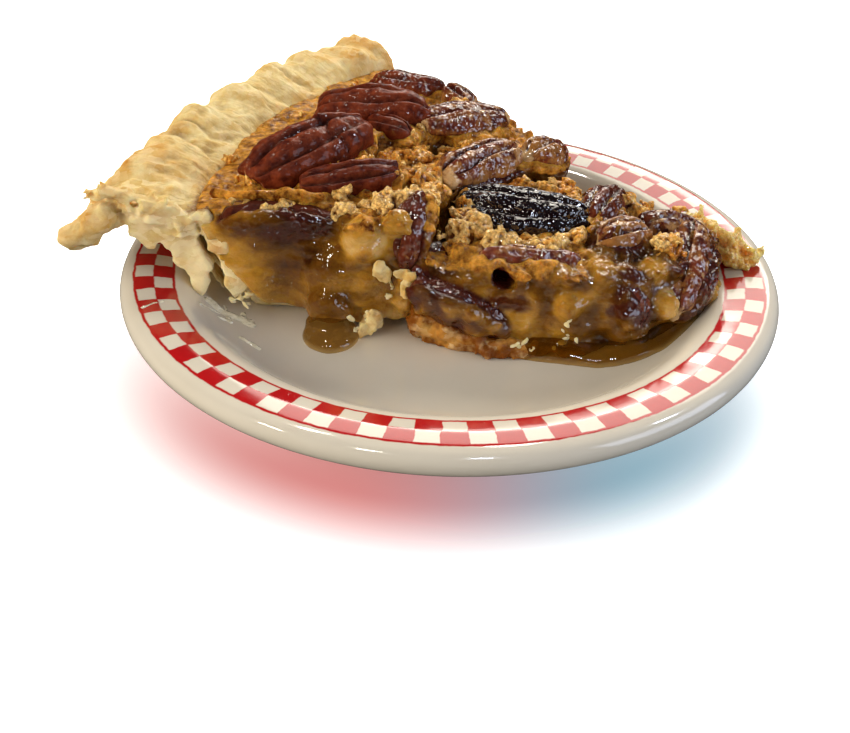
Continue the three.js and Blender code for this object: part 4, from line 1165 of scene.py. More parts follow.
def tip_top(x, y):
    """Height of the top of the lump that slid forwards."""
    return (
        SUNK_TOP + 0.7 * wobble(x * 0.8, y * 0.8, 1, 6) - 1.6 * smooth(x, 30, 52) - 3 * smooth(y, 4, 22)
    )


def nestle(field, names, cover):
    """The filling rises round the lower half of each nut, and further over those in cover."""
    for name, at, (length, width, height), angles, _ in PECANS:
        if name in names:
            turn = turned(angles)
            high = cover.get(name, 0.36)
            sink, wide = (0.1, 0.5) if name in cover else (0.22, 0.9)
            centre = np.array(at) - turn[:, 2] * height * sink
            half = (length / 2 + 0.6, width / 2 + wide, height * high)
            field.ball(centre, half, blend=2.4, turn=turn)


def above_plate(field, gap):
    """Cuts away what would lie in the plate."""
    part, (x, y, z) = field.whole()
    field.cut(part, z - FLOOR_TOP - gap - plate_rise(x, y), 0.3)


def sticks_up(field, x, y):
    """Height of the top of the field at a place in plan."""
    i, j = (int(round(v / field.voxel)) - field.first[k] for k, v in enumerate((x, y)))
    inside = np.nonzero(field.dist[i, j] < 0)[0]
    return (field.first[2] + inside.max()) * field.voxel if len(inside) else FLOOR_TOP


def strand(field, points, radius, blend=0.6, flat=1.0):
    """Joins a rounded run along a line of points; flat below 1 presses it down."""
    line = np.array(points, float)
    low, high = line.min(0) - radius - 3, line.max(0) + radius + 3
    part, (x, y, z) = field.window(low, high)
    best = None
    for a, b in zip(line[:-1], line[1:]):
        run = b - a
        t = ((x - a[0]) * run[0] + (y - a[1]) * run[1] + (z - a[2]) * run[2]) / (run @ run)
        t = np.clip(t, 0, 1)
        gap = np.sqrt(
            (x - a[0] - t * run[0]) ** 2 + (y - a[1] - t * run[1]) ** 2
            + ((z - a[2] - t * run[2]) / flat) ** 2
        ) - radius
        best = gap if best is None else np.minimum(best, gap)
    field.join(part, best, blend)


BACK_NUTS = (
    "top_large", "top_low", "top_back", "top_far", "top_small", "top_glossy", "far_stub", "ridge",
    "ridge_end", "break_top", "break_low", "near_cut",
)
TIP_NUTS = (
    "dark", "tip_upright", "tip_pale", "tip_back", "tip_nose", "front_strip", "front_shelf", "front_right",
)


def build_back_filling(material):
    """The lump of filling that still stands in the shell."""
    field = Field((-66, -30, 8), (32, 86, 42))
    slab(field, BACK_OUTLINE, 11, back_top, 1.1, -0.6, 2)
    # The near cut leans back towards its baked lip.
    part, (x, y, z) = field.whole()
    lean = -(y + 8.8) * 0.79 + (z - 34.3) * 0.61 - 7 * smooth(x, -26, -15)
    field.dist = np.clip(soft_max(field.dist, lean, 1.5), -FAR, FAR).astype(np.float32)
    nestle(field, BACK_NUTS, {"break_low": 0.5})
    for centre, half, _ in BACK_CURDS:
        field.ball(centre, half, blend=1.4)
    strand(field, LIP, 1.1, 1.0)

    def uneven(at):
        near_top = smooth(at[:, 2] - back_top(at[:, 0], at[:, 1]), -2.5, -0.5)
        radius, _ = polar(at)
        crumbly = fractal(at, 2.0, 2, 51) * near_top * (0.8 - 0.55 * smooth(radius, 90, 98))
        broken = smooth(at[:, 0], -26, -20) * (1 - near_top)
        clumps = 0.7 * (1 - beads(at + 1.6 * noise(at, 4, 56)[:, None], 4.2, 53) / 2.1) * broken
        return 0.35 * fractal(at, 6, 2, 52) + 0.2 * noise(at, 2, 54) * (1 - near_top) + crumbly + clumps

    field.swell(uneven)
    for centre, half in GAPS:
        field.ball(centre, half, blend=0.8, cut=True)
    # The wall and base of the shell hold the filling, past the near cut as well. At the far end the
    # shell is lifted by the plate's rim.
    part, (x, y, z) = field.whole()
    away = np.hypot(x - PIE_CENTRE[0], y - PIE_CENTRE[1])
    lifted = plate_rise(x, y) * (1 - smooth(z, 20, 30)) * smooth(y, 0, 20)
    wall = along_line(z - lifted, WALL_INSIDE) + 1.2 * wobble(z, y * 0.4, 0 * x, 8)
    field.cut(part, wall - away, 0.8)
    shell = made_earlier(SHARED, "shell", "pastry")
    lap_low = np.maximum(field.first, shell.first)
    lap_high = np.minimum(field.first + field.count, shell.first + shell.count)
    mine = tuple(slice(a, b) for a, b in zip(lap_low - field.first, lap_high - field.first))
    theirs = tuple(slice(a, b) for a, b in zip(lap_low - shell.first, lap_high - shell.first))
    field.cut(mine, shell.dist[theirs] - 0.05)
    above_plate(field, 0.05)
    points, quads = field.surface()
    x, y, z = points.T
    below_top = back_top(x, y) - z
    crust = 1 - smooth(below_top, -0.2, 1.6)
    crust *= 1 - smooth(-y - 10.2, 0, 1.2) * smooth(-x, 18, 24)
    curds = 1 - smooth(curd_distance(points, BACK_CURDS[:2]), -0.2, 1.0)
    nuts = nut_distance(points, BACK_NUTS)
    amber = along_line(x, BACK_AMBER)
    amber = amber + 0.12 * fractal(points * (0.3, 1, 1), 4, 2, 55) - 0.25 * (1 - smooth(z, 12, 18))
    amber += 0.35 * bell(z, 30.5, 4) * smooth(x, -52, -44) * (1 - smooth(x, -26, -20))
    amber = curd_colour(points, BACK_CURDS, amber)
    inner = 0.7 * smooth(fractal(points * (0.5, 1, 1), 5, 3, 57), 0.45, 0.9)
    inner *= smooth(x, -46, -36) * smooth(z, 14, 20)
    nutty = np.maximum(1 - smooth(nuts, 0.6, 1.6), inner) * (1 - curds)
    values = {
        "amber": np.clip(amber, 0, 1),
        "crust": np.clip(crust * (1 - curds), 0, 1),
        "nutty": np.clip(nutty, 0, 1),
        "glitter": 0.05 + 0.4 * smooth(z, 24, 32) + 0.7 * bell(x, -23, 5) * bell(z, 19, 5),
    }
    SHARED["back"] = field
    piece = new_piece("filling_under_crust", points, quads, material, values)
    served(piece, "sugar_filling", "filling_back")


def build_tip_filling(material):
    """The lump that slid forwards and sank."""
    field = Field((-14, -34, 7), (66, 30, 38))
    slab(field, TIP_OUTLINE, 9, tip_top, 1.4, 2.2, 5)
    nestle(field, TIP_NUTS, {
        "tip_nose": 0.62, "tip_back": 0.6, "tip_pale": 0.6, "tip_upright": 0.56, "front_right": 0.62})
    for centre, half, _ in TIP_CURDS:
        field.ball(centre, half, blend=1.4)
    # The surface sinks under the darkest nut.
    field.ball((15.2, 2.2, 31.5), (15, 9, 6.4), blend=1.5, turn=turned((-9, -2, 10)), cut=True)

    def uneven(at):
        near_top = smooth(at[:, 2] - tip_top(at[:, 0], at[:, 1]), -2.5, -0.5)
        crumbly = 0.8 * fractal(at, 2.0, 2, 61) * near_top
        clumps = 0.6 * (1 - beads(at + 2.0 * noise(at, 4, 67)[:, None], 4.8, 63) / 2.4)
        clumps += 0.35 * (1 - beads(at + noise(at, 2, 69)[:, None], 2.6, 64) / 1.3)
        return 0.5 * fractal(at, 6, 2, 62) + 0.25 * noise(at, 2, 64) + crumbly + clumps

    field.swell(uneven)
    for centre, half in HOLE:
        field.ball(centre, half, blend=0.5, cut=True)
    above_plate(field, 0.05)
    points, quads = field.surface()
    x, y, z = points.T
    below_top = tip_top(x, y) - z
    curds = 1 - smooth(curd_distance(points, TIP_CURDS[:5]), -0.2, 1.0)
    crust = (1 - smooth(below_top, -0.2, 2.0)) * (1 - smooth(x, 24, 31)) * (1 - curds)
    nuts = nut_distance(points, TIP_NUTS)
    amber = along_line(x, TIP_AMBER)
    amber = amber + 0.2 * fractal(points, 6, 2, 65) + 0.2 * (1 - smooth(z, 11, 15)) * smooth(x, 16, 24)
    amber += 0.25 * noise(points, 3.2, 68)
    amber = curd_colour(points, TIP_CURDS, amber)
    inner = 0.85 * smooth(fractal(points * (0.7, 1, 1), 5, 3, 66), 0.25, 0.7) * smooth(z, 12, 17)
    nutty = np.maximum(1 - smooth(nuts, 0.6, 1.6), inner) * (1 - 0.8 * curds)
    # The filling at the hole at the front is painted dark, as painted shade in the hole.
    hole_shade = 1 - smooth(ellipsoid(x, y, z, (10.8, -18, 25), (2.6, 6, 2.6)), -0.2, 0.6)
    amber, nutty, crust = amber + hole_shade, np.maximum(nutty, hole_shade), crust * (1 - hole_shade)
    values = {
        "amber": np.clip(amber, 0, 1),
        "crust": np.clip(crust * 0.85, 0, 1),
        "nutty": np.clip(nutty, 0, 1),
        "glitter": 0.05 + 0.5 * smooth(z, 21, 26) + 1.1 * smooth(x, 34, 46) * smooth(z, 13, 19),
    }
    SHARED["tip"] = field
    piece = new_piece("filling_at_tip", points, quads, material, values)
    served(piece, "sugar_filling", "filling_tip")


def crumbled(name, rows, material, seed, runs=(), pebbles=(), lumpy=0.75):
    """Crags of crumb: blobs and runs whose surface is grains and pits."""
    blobs = [(np.array(c), np.array(h)) for c, h in (*rows, *pebbles)]
    blobs += [(np.array(at), np.full(3, 2.0)) for run in runs for at in run]
    low = np.min([c - h for c, h in blobs], axis=0) - 3
    high = np.max([c + h for c, h in blobs], axis=0) + 3
    field = Field(low, high, 0.34)
    for centre, half in rows:
        field.ball(centre, half, blend=1.2)
    for run in runs:
        strand(field, run, 1.7, 1.0)
    for centre, half in pebbles:
        field.ball(centre, half, blend=0.5)

    def crumbly(at):
        holes = lumpy * (beads(at + 0.5 * noise(at, 2, seed)[:, None], 1.35, seed) - 0.62)
        return np.minimum(holes, 0.25) + 1.3 * fractal(at, 2.6, 3, seed + 1)

    field.swell(crumbly, 2.0)
    points, quads = field.surface(60)
    soft = field.blurred(5)
    proud = np.clip(field.sample(points, soft) / 0.3, -1, 1)
    # Crags high at the front are painted paler as painted light, and what stands proud as painted
    # highlight; hollow says where the material paints shade.
    pale = smooth(-points[:, 1], 2, 9) * smooth(points[:, 2], 25, 31) + 0.4 * np.clip(proud, 0, 1)
    return new_piece(name, points, quads, material, {"hollow": np.clip(-proud, 0, 1), "pale": pale})


def scattered(field, corners, count, seed, sizes):
    """Pebbles of crumb at random places on the top of a field, inside an outline in plan."""
    random = np.random.default_rng(seed)
    outline = np.array(corners, float)
    made = []
    while len(made) < count:
        x, y = random.uniform(outline.min(0), outline.max(0))
        if outline_distance(np.array([x]), np.array([y]), outline)[0] < 0:
            size = random.uniform(*sizes) * random.uniform(0.7, 1)
            at = (x, y, sticks_up(field, x, y) + 0.2 * size)
            made.append((at, size * random.uniform(0.75, 1.25, 3)))
    return made


def build_crumb(p):
    """Toasted crumb on both lumps, and the crumb that hangs off the point."""
    back, tip = (made_earlier(SHARED, key, "filling") for key in ("back", "tip"))
    material = toasted_crumb(p, "toasted_sugar_crumb", 0.0)
    pebbles = [pebble for row in BACK_PEBBLES for pebble in scattered(back, *row)]
    served(crumbled("crumb_on_back", BACK_CRAGS, material, 71, pebbles=pebbles), "golden_crumb")
    pebbles = [pebble for row in TIP_PEBBLES for pebble in scattered(tip, *row)]
    served(crumbled("crumb_on_tip", TIP_CRAGS, material, 75, FRINGE, pebbles), "golden_crumb")
    thin = toasted_crumb(p, "thin_toasted_sugar_crumb", 1.0)
    served(crumbled("crumb_trail", TAIL_CRUMB, thin, 79), "golden_crumb", "crumb_tail")


def build_flakes():
    """White flakes of pastry caught on the filling and on the plate."""
    material = made_earlier(bpy.data.materials, "baked_shortcrust_pastry", "pastry")
    random = np.random.default_rng(9)
    field = Field((-48, -32, 7), (36, -8, 30), 0.3)
    for (x, y, z), spread, count in FLAKES:
        for _ in range(count):
            at = np.array([x, y, z]) + random.normal(0, 1, 3) * spread
            half = (random.uniform(0.5, 1.3), random.uniform(0.4, 0.9), random.uniform(0.22, 0.34))
            field.ball(at, half, blend=0.1, turn=turned(random.uniform(-60, 60, 3)))
    field.swell(lambda at: 0.3 * noise(at, 0.9, 88), 1.0)
    above_plate(field, 0.0)
    points, quads = field.surface(20)
    values = {"toasted": -0.3 + 0.3 * noise(points, 3, 89), "torn": np.full(len(points), 0.8)}
    served(new_piece("pastry_flakes", points, quads, material, values), "baked_pastry")


def build_tip_base(material):
    """The base under the sunk tip, soaked with syrup."""
    field = Field((-14, -32, 7), (52, 22, 20))

    def top_at(x, y):
        lift = 3.4 * smooth(-x, -12, 8) * smooth(-y, 6, 18)
        return BASE_TOP - 0.4 + lift + 0.5 * wobble(x, y, 0, 3)

    slab(field, TIP_BASE_OUTLINE, 8, top_at, 0.5, 0.3, 9)
    field.swell(lambda at: 1.1 * fractal(at, 3.4, 3, 81) + 0.5 * (0.8 - beads(at, 1.8, 82)))
    above_plate(field, 0.02)
    points, quads = field.surface()
    # The material paints shade where hollow is high.
    proud = np.clip(field.sample(points, field.blurred(4)) / 0.4, -1, 1)
    values = {
        "toasted": 1.1 + 0.3 * fractal(points, 3, 2, 85),
        "soaked": 0.55 + 0.6 * fractal(points, 4, 3, 83),
        "hollow": np.clip(-proud, 0, 1),
    }
    piece = new_piece("pastry_under_tip", points, quads, material, values)
    served(piece, "baked_pastry", "pastry_base_tip")


def build_chips(material):
    """The broken chips of shell, each a stack of thin shards."""
    for number, (name, (centre, layers)) in enumerate(CHIPS.items()):
        middle = np.array(centre)
        chip = Field(middle - 7, middle + 7, 0.3)
        for offset, half, angles in layers:
            chip.ball(middle + offset, half, blend=0.25, turn=turned(angles))

        def ragged(at):
            return 0.4 * fractal(at, 1.6, 3, 84 + number) + 0.2 * noise(at * (1, 1, 0.3), 0.9, 87)

        chip.swell(ragged, 2.0)
        points, quads = chip.surface(60)
        values = {
            "toasted": 0.3 + 0.4 * noise(points, 2, 88),
            "soaked": 0.12 + 0.3 * noise(points, 2.6, 90),
            "torn": np.full(len(points), 0.15),
        }
        piece = new_piece(name.replace("pastry", "broken"), points, quads, material, values)
        served(piece, "baked_pastry", name)


def build_syrup(p):
    """The run at the front, the pool under the point, and the smears on the plate."""
    material = clear_syrup(p)

    def on_plate(line, lift):
        return [(x, y, FLOOR_TOP + float(plate_rise(x, y)) + lift) for x, y in line]

    def finish(field, name, material, amber):
        # Syrup wets the glaze, so it reaches just into it and leaves no film of air.
        above_plate(field, -0.2)
        points, quads = field.surface(40)
        thick = smooth(points[:, 2] - FLOOR_TOP - plate_rise(points[:, 0], points[:, 1]), 0.0, 1.5)
        piece = new_piece(name, points, quads, material, {"amber": amber * thick})
        piece.visible_shadow = False  # clear syrup lets the light on to the plate
        served(piece, "sugar_filling")

    pool = Field((8, -36, 8), (66, 8, 18), 0.4)
    edge = [(16, -22), (25, -24), (34, -24.2), (42.5, -21), (49.6, -14.5), (54, -6)]
    strand(pool, on_plate(edge, 0.6), 4.2, 0.5, 0.62)
    pool.swell(lambda at: 0.9 * noise(at, 6, 101), 2.0)
    finish(pool, "syrup_pool", material, 1.0)

    run = Field((-34, -30, 8), (-14, -8, 28), 0.35)
    run.ball((-24, -20.8, 9.6), (6.0, 5.9, 2.6))
    run.ball((-24.4, -18.6, 11.4), (4.9, 3.2, 2.8), blend=1.6)
    run.swell(lambda at: 0.5 * noise(at, 3.4, 103), 2.0)
    finish(run, "syrup_run", material, 0.9)

    smears = Field((-66, -34, 8), (-26, -10, 22), 0.3)
    for line, thick in SMEARS:
        strand(smears, on_plate(line, 0.1), thick, 0.4, 0.4)
    smears.swell(lambda at: 0.3 * noise(at, 1.6, 105), 1.2)
    finish(smears, "syrup_smears", syrup_film(p), 0.0)


# ---- the nuts -------------------------------------------------------------------------------------
def pecan_points(length, width, height, seed, rows, sides):
    """A pecan half along X with its rounded back up. Two furrows run along the back."""
    turn = np.linspace(0, math.pi, rows)[:, None]
    u = (1 - np.cos(turn)) / 2
    around = np.linspace(0, 2 * math.pi, sides, endpoint=False)[None]
    taper = (4 * u * (1 - u)) ** 0.38 * (1 - 0.16 * u)
    across, up = np.cos(around), np.sin(around)
    x = (u - 0.5) * length + 0 * around
    place = np.stack([x, 0 * x + seed * 17.0, 0 * x], axis=-1).reshape(-1, 3)
    wander = 0.17 * noise(place, 8, seed).reshape(x.shape)
    deep = 1 + 0.6 * noise(place + 5, 6, seed + 1).reshape(x.shape)
    back = smooth(up, 0.1, 0.5)
    left, right = (bell(across + wander, at, 0.085) for at in (-0.38, 0.34))
    furrows = (left * deep + right * (2 - deep)) * smooth(u * (1 - u), 0.0, 0.07)
    lobes = 0.02 * np.cos((across + wander) * 2 * math.pi / 0.72)
    belly = bell(across, 0, 0.3) * smooth(-up, 0.2, 0.8)
    full = np.sign(up) * np.abs(up) ** 0.85
    top = height * 0.72 * (full - back * (0.32 * furrows - lobes))
    lift = np.where(up > 0, top, height * 0.28 * (up + 0.6 * belly))
    y = (width / 2) * taper * across
    z = lift * taper
    bend = 0.05 * math.sin(seed * 2.3)
    y = y + bend * length * ((u - 0.5) ** 2 * 4 - 0.4)
    points = np.stack([x, y, z], axis=-1).reshape(-1, 3)
    shifted = points + (seed * 31.0, seed * 13.0, 0)
    outward = points / np.maximum(np.linalg.norm(points * (0.25, 1, 1), axis=1, keepdims=True), 0.5)
    lumps = 0.5 * fractal(shifted, 5, 2, 91)
    wrinkles = 0.1 * (1 - 2 * np.abs(noise(shifted * (0.45, 1, 1), 2.2, 93)))
    cross = 0.16 * (1 - 2.4 * np.abs(noise(shifted * (1, 0.45, 0.45), 3.2, 94)))
    fine = 0.05 * noise(shifted, 1.1, 96)
    points = points + outward * (lumps + wrinkles + cross + fine)[:, None]
    pits = (np.clip(furrows, 0, 1) * back + 0 * x).reshape(-1)
    ends = np.abs(u - 0.5) * 2 + 0 * around
    return points, pits, ends.reshape(-1), (u + 0 * around).reshape(-1)


def build_pecans(p):
    """The pecan halves and pieces."""
    plain = glazed_pecan(p, "toasted_pecan_under_syrup", 0.0)
    crusted = glazed_pecan(p, "toasted_pecan_crusted_with_sugar", 1.0)
    for seed, (name, at, size, angles, (dark, bare, caramel)) in enumerate(PECANS):
        length = size[0]
        rows, sides = (96, 72) if length > 20 else (64, 56)
        points, pits, ends, u = pecan_points(*size, seed, rows, sides)
        if name == "top_large":
            # A crack crosses the largest nut, and what lies past it stands a little higher.
            crack = u - 0.66 - 0.03 * np.sin(points[:, 1] * 0.9)
            points[:, 2] += (0.7 * smooth(crack, 0, 0.01) - 0.9 * bell(crack, 0, 0.008)) * (points[:, 2] > 0)
        broken = bare * (0.45 + 0.9 * smooth(ends, 0.8, 1.0) + 0.5 * fractal(points + seed * 9.0, 5, 2, 95))
        placed = points @ turned(angles).T + np.array(at)
        faces = grid_faces(rows, sides)
        # hollow marks the furrows, where the material paints shade.
        values = {"dark": np.full(len(points), dark), "bare": broken, "hollow": pits * 0.8}
        values["caramel"] = np.full(len(points), caramel)
        material = crusted if name in SUGARED else plain
        piece = new_piece("nut_" + name, placed, faces, material, values)
        served(piece, "pecan_nut", "pecan_" + name)


# ---- the stage ------------------------------------------------------------------------------------
def build_stage(p):
    """The floor, the lights and the camera."""
    scene = bpy.context.scene
    centre = Vector(PLATE_AXIS) * MM
    bpy.ops.mesh.primitive_plane_add(size=FLOOR_METRES, location=(0, 0, 0))
    floor = bpy.context.object
    floor.name = "acrylic_floor"
    floor.data.materials.append(backlit_acrylic(p))
    # The room round the plate is dim, so the lit floor neither shows in wet things nor lights them.
    floor.visible_glossy = False
    floor.visible_diffuse = False

    world = bpy.data.worlds.new("pale_room")
    scene.world = world
    world.use_nodes = True
    world.cycles_visibility.glossy = False
    world.node_tree.nodes["Background"].inputs["Color"].default_value = rgba(p.room)
    world.node_tree.nodes["Background"].inputs["Strength"].default_value = p.room_light

    def light(name, azimuth, elevation, wide, tall, brightness, colour, distance=0.9):
        lamp = bpy.data.objects.new(name, bpy.data.lights.new(name, "AREA"))
        data = lamp.data
        data.shape = "RECTANGLE"
        data.size = 2 * distance * math.tan(math.radians(wide / 2))
        data.size_y = 2 * distance * math.tan(math.radians(tall / 2))
        data.energy = brightness * math.pi * data.size * data.size_y
        data.color = colour
        scene.collection.objects.link(lamp)
        a, e = math.radians(azimuth), math.radians(elevation)
        out = Vector((math.sin(a) * math.cos(e), math.cos(a) * math.cos(e), math.sin(e)))
        lamp.location = centre + out * distance
        lamp.rotation_euler = out.to_track_quat("Z", "Y").to_euler()
        return lamp

    # The window is one lamp that lights and another that shows in the glaze.
    light("window", 13, 35, 42, 26, p.window_light, p.daylight).visible_glossy = False
    light("window_glare", 13, 34.5, 42, 33, p.glare, p.daylight, 0.8).visible_diffuse = False
    light("low_glare", 10, 25, 46, 5, 1.3 * p.glare, p.daylight, 0.79).visible_diffuse = False
    light("side_window", -114, 22, 60, 36, p.side_light, p.daylight).visible_glossy = False
    light("skylight", -10, 78, 40, 40, p.sky_light, p.daylight).visible_glossy = False
    light("far_window", 108, 18, 44, 30, p.far_light, p.cool_light)
    light("front_fill", 184, 8, 70, 24, p.fill_light, p.daylight).visible_glossy = False
    for number, (azimuth, elevation, colour) in enumerate(LAMPS):
        lamp = light(f"lamp_{number}", azimuth, elevation, 5, 3, p.lamp_light, getattr(p, colour))
        lamp.visible_diffuse = False  # they only glint

    # The camera looks down on the plate from in front.
    eye = centre + Vector(EYE) * MM
    aim = centre + Vector(AIM) * MM
    ahead = (aim - eye).normalized()
    right = ahead.cross(Vector((0, 0, 1))).normalized()
    turn = Matrix((right, right.cross(ahead), -ahead)).transposed()
    roll = Matrix.Rotation(math.radians(ROLL), 3, "Z")
    camera = bpy.data.objects.new("camera", bpy.data.cameras.new("camera"))
    scene.collection.objects.link(camera)
    camera.matrix_world = Matrix.Translation(eye) @ (turn @ roll).to_4x4()
    camera.data.lens = LENS
    camera.data.sensor_width = 36.0
    camera.data.clip_start = 0.01
    scene.camera = camera
    scene.view_settings.view_transform = "Standard"


# ---- settings -------------------------------------------------------------------------------------
def colour_of(name, code, description):
    """A colour setting, from its sRGB hex value."""
    return bpy.props.FloatVectorProperty(
        name=name, description=description, default=linear(code), size=3, min=0, max=1, subtype="COLOR")


def length_of(name, millimetres, description):
    """A length setting, from millimetres."""
    return bpy.props.FloatProperty(
        name=name, description=description, default=millimetres * MM, min=0, unit="LENGTH")


def brightness_of(name, default, description):
    """A brightness setting."""
    return bpy.props.FloatProperty(name=name, description=description, default=default, min=0)


class PlateSettings(bpy.types.PropertyGroup):
    """Sizes and colours of the plate"""

    checks: bpy.props.IntProperty(name="Checks", description="White checks in each row", default=42, min=4)
    band_inner: length_of("Band inner radius", 58.4, "From the axis to the band's inner line")
    band_outer: length_of("Band outer radius", 66.9, "From the axis to the band's outer line")
    band_line: length_of("Band line", 0.6, "Width of the red line along each edge of the band")
    glaze: colour_of("Glaze", "#e2d9c8", "Cream glaze")
    glaze_shade: colour_of("Glaze shade", "#d9cfbc", "Cream glaze where it is thicker")
    red: colour_of("Red", "#c01a1c", "Printed red")
    red_shade: colour_of("Red shade", "#ab161b", "Printed red where it is heavier")
    bare_china: colour_of("Bare china", "#b7ad9c", "Foot ring, wiped clean of glaze")


class PastrySettings(bpy.types.PropertyGroup):
    """Colours of the crust"""

    dough_light: colour_of("Pale dough", "#efdba2", "Pastry that hardly browned")
    dough: colour_of("Dough", "#d8b46a", "Pastry as it is over most of the crust")
    gold: colour_of("Gold", "#d0963f", "Pastry browned by the oven")
    brown: colour_of("Brown", "#ad6c2c", "Pastry at its most browned")
    # Painted shade, for the bottoms of folds and wrinkles in the crust.
    crease_shade: colour_of("Crease", "#a0854a", "Bottom of a fold")
    torn: colour_of("Torn dough", "#f3deac", "Inside of the pastry where it tore")
    soaked: colour_of("Soaked", "#7a420f", "Pastry that syrup has soaked")


class FillingSettings(bpy.types.PropertyGroup):
    """Colours of the filling, the crumb and the syrup"""

    custard: colour_of("Custard", "#e2be78", "Filling where it is thin and pale")
    honey: colour_of("Honey", "#b8852e", "Filling a little deeper")
    amber: colour_of("Amber", "#744a10", "Filling as it is over most of the cut")
    dark_amber: colour_of("Dark amber", "#361804", "Filling where it is deep")
    nut_through: colour_of("Nut under jelly", "#41140c", "A nut seen through the filling")
    crust_gold: colour_of("Crust gold", "#dc9c3c", "Baked top, light")
    crust_brown: colour_of("Crust brown", "#582a06", "Baked top, dark")
    crumb_pale: colour_of("Pale crumb", "#ffce7c", "Crumb, light")
    crumb_gold: colour_of("Gold crumb", "#f6ac46", "Crumb, middling")
    crumb_orange: colour_of("Orange crumb", "#d27c28", "Crumb, toasted")
    # Painted shade, in the crumb's pits and between its beads.
    crumb_pit_shade: colour_of("Brown crumb", "#6a3810", "Crumb in its pits")
    syrup: colour_of("Syrup", "#704307", "Syrup where it is deep")
    # Painted sheen: the film is painted paler than the glaze it lies on.
    film: colour_of("Film", "#f4edd2", "Syrup wiped over the plate")
    syrup_pale: colour_of("Thin syrup", "#c59c4a", "Syrup where it is a film")


class PecanSettings(bpy.types.PropertyGroup):
    """Colours of the nuts"""

    skin: colour_of("Skin", "#4b170c", "Nut skin")
    skin_light: colour_of("Light skin", "#8c3d1f", "Nut skin where it is thin")
    burnt: colour_of("Burnt skin", "#15060a", "Skin of the darkest nut")
    # Painted shade, for the bottom of a furrow.
    crease_shade: colour_of("Crease", "#1c0805", "Bottom of a furrow")
    caramel: colour_of("Caramel", "#a06a34", "Syrup set on a nut")
    flesh: colour_of("Flesh", "#d0a874", "Inside of a broken nut")


class StageSettings(bpy.types.PropertyGroup):
    """Colours and lights of the stage"""

    paper: colour_of("Acrylic", "#ffffff", "Floor")
    # Painted coloured shadow on the floor round the plate, at the left and at the right.
    shadow_tint_left: colour_of("Left glow", "#bd7876", "Floor near the plate, at the left")
    shadow_tint_right: colour_of("Right glow", "#7a9dab", "Floor near the plate, at the right")
    room: colour_of("Room", "#fffaf2", "Colour of the light from all round")
    daylight: colour_of("Daylight", "#fff8ec", "Colour of the windows")
    cool_light: colour_of("Cool light", "#dde9ff", "Colour of the far window")
    room_light: brightness_of("Room light", 0.14, "Strength of the light from all round")
    window_light: brightness_of("Window", 10.0, "As a source of light, where lit white paper is 1")
    glare: brightness_of("Glare", 4.2, "The window as it shows in the glaze")
    side_light: brightness_of("Side window", 4.8, "Where lit white paper is 1")
    sky_light: brightness_of("Skylight", 0.3, "Where lit white paper is 1")
    far_light: brightness_of("Far window", 4.8, "Where lit white paper is 1")
    fill_light: brightness_of("Front fill", 0.42, "Where lit white paper is 1")
    lamp_light: brightness_of("Lamps", 110.0, "Of each small lamp, where lit white paper is 1")


SETTINGS = {
    "pie_plate": PlateSettings,
    "pie_pastry": PastrySettings,
    "pie_filling": FillingSettings,
    "pie_pecans": PecanSettings,
    "pie_stage": StageSettings,
}


# ---- operators ------------------------------------------------------------------------------------
class PIE_OT_plate(bpy.types.Operator):
    """Makes the glazed side plate with its checked band"""

    bl_idname = "pie.plate"
    bl_label = "Plate"

    def execute(self, context):
        build_plate(context.scene.pie_plate)
        return {"FINISHED"}


class PIE_OT_pastry(bpy.types.Operator):
    """Makes the fluted shell, the base under the tip and the broken chips"""

    bl_idname = "pie.pastry"
    bl_label = "Pastry"

    def execute(self, context):
        material = baked_pastry(context.scene.pie_pastry)
        build_pastry(material)
        build_tip_base(material)
        build_chips(material)
        return {"FINISHED"}


class PIE_OT_filling(bpy.types.Operator):
    """Makes the two lumps of set filling"""

    bl_idname = "pie.filling"
    bl_label = "Filling"

    def execute(self, context):
        material = set_filling(context.scene.pie_filling)
        build_back_filling(material)
        build_tip_filling(material)
        return {"FINISHED"}


class PIE_OT_crumb(bpy.types.Operator):
    """Makes the toasted crumb on the filling and the trail at the tip"""

    bl_idname = "pie.crumb"
    bl_label = "Crumb"

    def execute(self, context):
        build_crumb(context.scene.pie_filling)
        return {"FINISHED"}


class PIE_OT_flakes(bpy.types.Operator):
    """Makes the flakes of pastry caught on the filling and the plate"""

    bl_idname = "pie.flakes"
    bl_label = "Flakes"

    def execute(self, context):
        build_flakes()
        return {"FINISHED"}


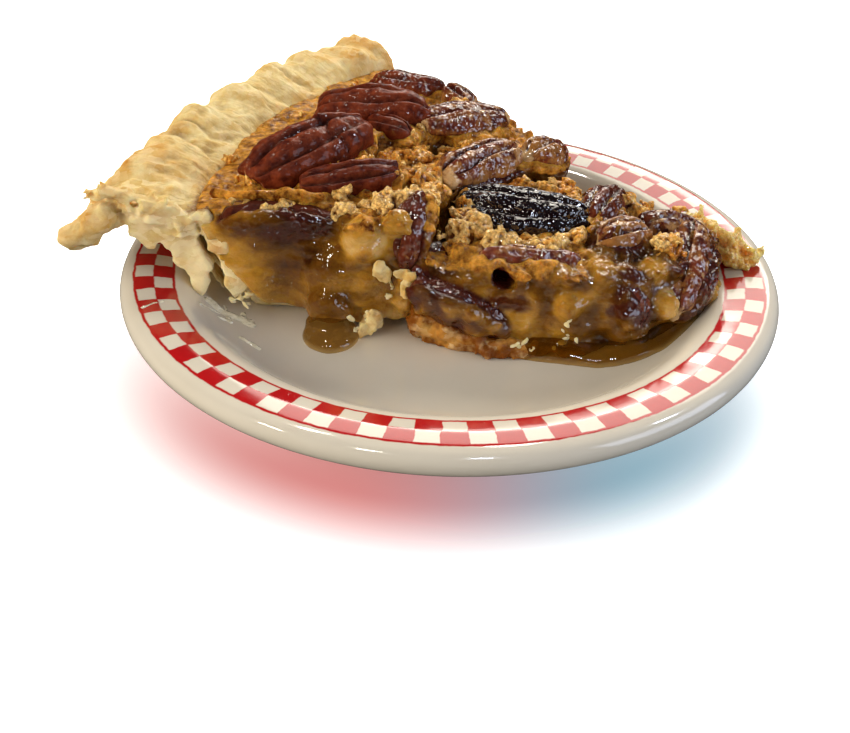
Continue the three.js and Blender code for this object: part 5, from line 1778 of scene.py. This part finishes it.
class PIE_OT_syrup(bpy.types.Operator):
    """Makes the run, the pool and the smears of syrup"""

    bl_idname = "pie.syrup"
    bl_label = "Syrup"

    def execute(self, context):
        build_syrup(context.scene.pie_filling)
        return {"FINISHED"}


class PIE_OT_pecans(bpy.types.Operator):
    """Makes the pecan halves and pieces"""

    bl_idname = "pie.pecans"
    bl_label = "Pecans"

    def execute(self, context):
        build_pecans(context.scene.pie_pecans)
        return {"FINISHED"}


class PIE_OT_stage(bpy.types.Operator):
    """Makes the floor, the lights and the camera"""

    bl_idname = "pie.stage"
    bl_label = "Stage"

    def execute(self, context):
        build_stage(context.scene.pie_stage)
        return {"FINISHED"}


OPERATORS = (
    PIE_OT_plate, PIE_OT_pastry, PIE_OT_filling, PIE_OT_crumb, PIE_OT_flakes, PIE_OT_syrup, PIE_OT_pecans,
    PIE_OT_stage,
)


class PIE_PT_panel(bpy.types.Panel):
    """Lists the pieces of the pie"""

    bl_idname = "PIE_PT_panel"
    bl_label = "Pecan pie"
    bl_space_type = "VIEW_3D"
    bl_region_type = "UI"
    bl_category = "Pecan pie"

    def draw(self, context):
        for operator in OPERATORS:
            self.layout.operator(operator.bl_idname)
        for key, group in SETTINGS.items():
            box = self.layout.box()
            for name in group.__annotations__:
                box.prop(getattr(context.scene, key), name)


def register():
    """Registers the settings, the operators and the panel."""
    for group in (*SETTINGS.values(), *OPERATORS, PIE_PT_panel):
        bpy.utils.register_class(group)
    for key, group in SETTINGS.items():
        setattr(bpy.types.Scene, key, bpy.props.PointerProperty(type=group))


def unregister():
    """Takes them out again."""
    for key in SETTINGS:
        delattr(bpy.types.Scene, key)
    for group in (PIE_PT_panel, *OPERATORS, *SETTINGS.values()):
        bpy.utils.unregister_class(group)


def main():
    """Builds the pie and its stage."""
    register()
    bpy.ops.pie.plate()
    bpy.ops.pie.pastry()
    bpy.ops.pie.filling()
    bpy.ops.pie.crumb()
    bpy.ops.pie.flakes()
    bpy.ops.pie.syrup()
    bpy.ops.pie.pecans()
    bpy.ops.pie.stage()


if __name__ == "__main__":
    main()
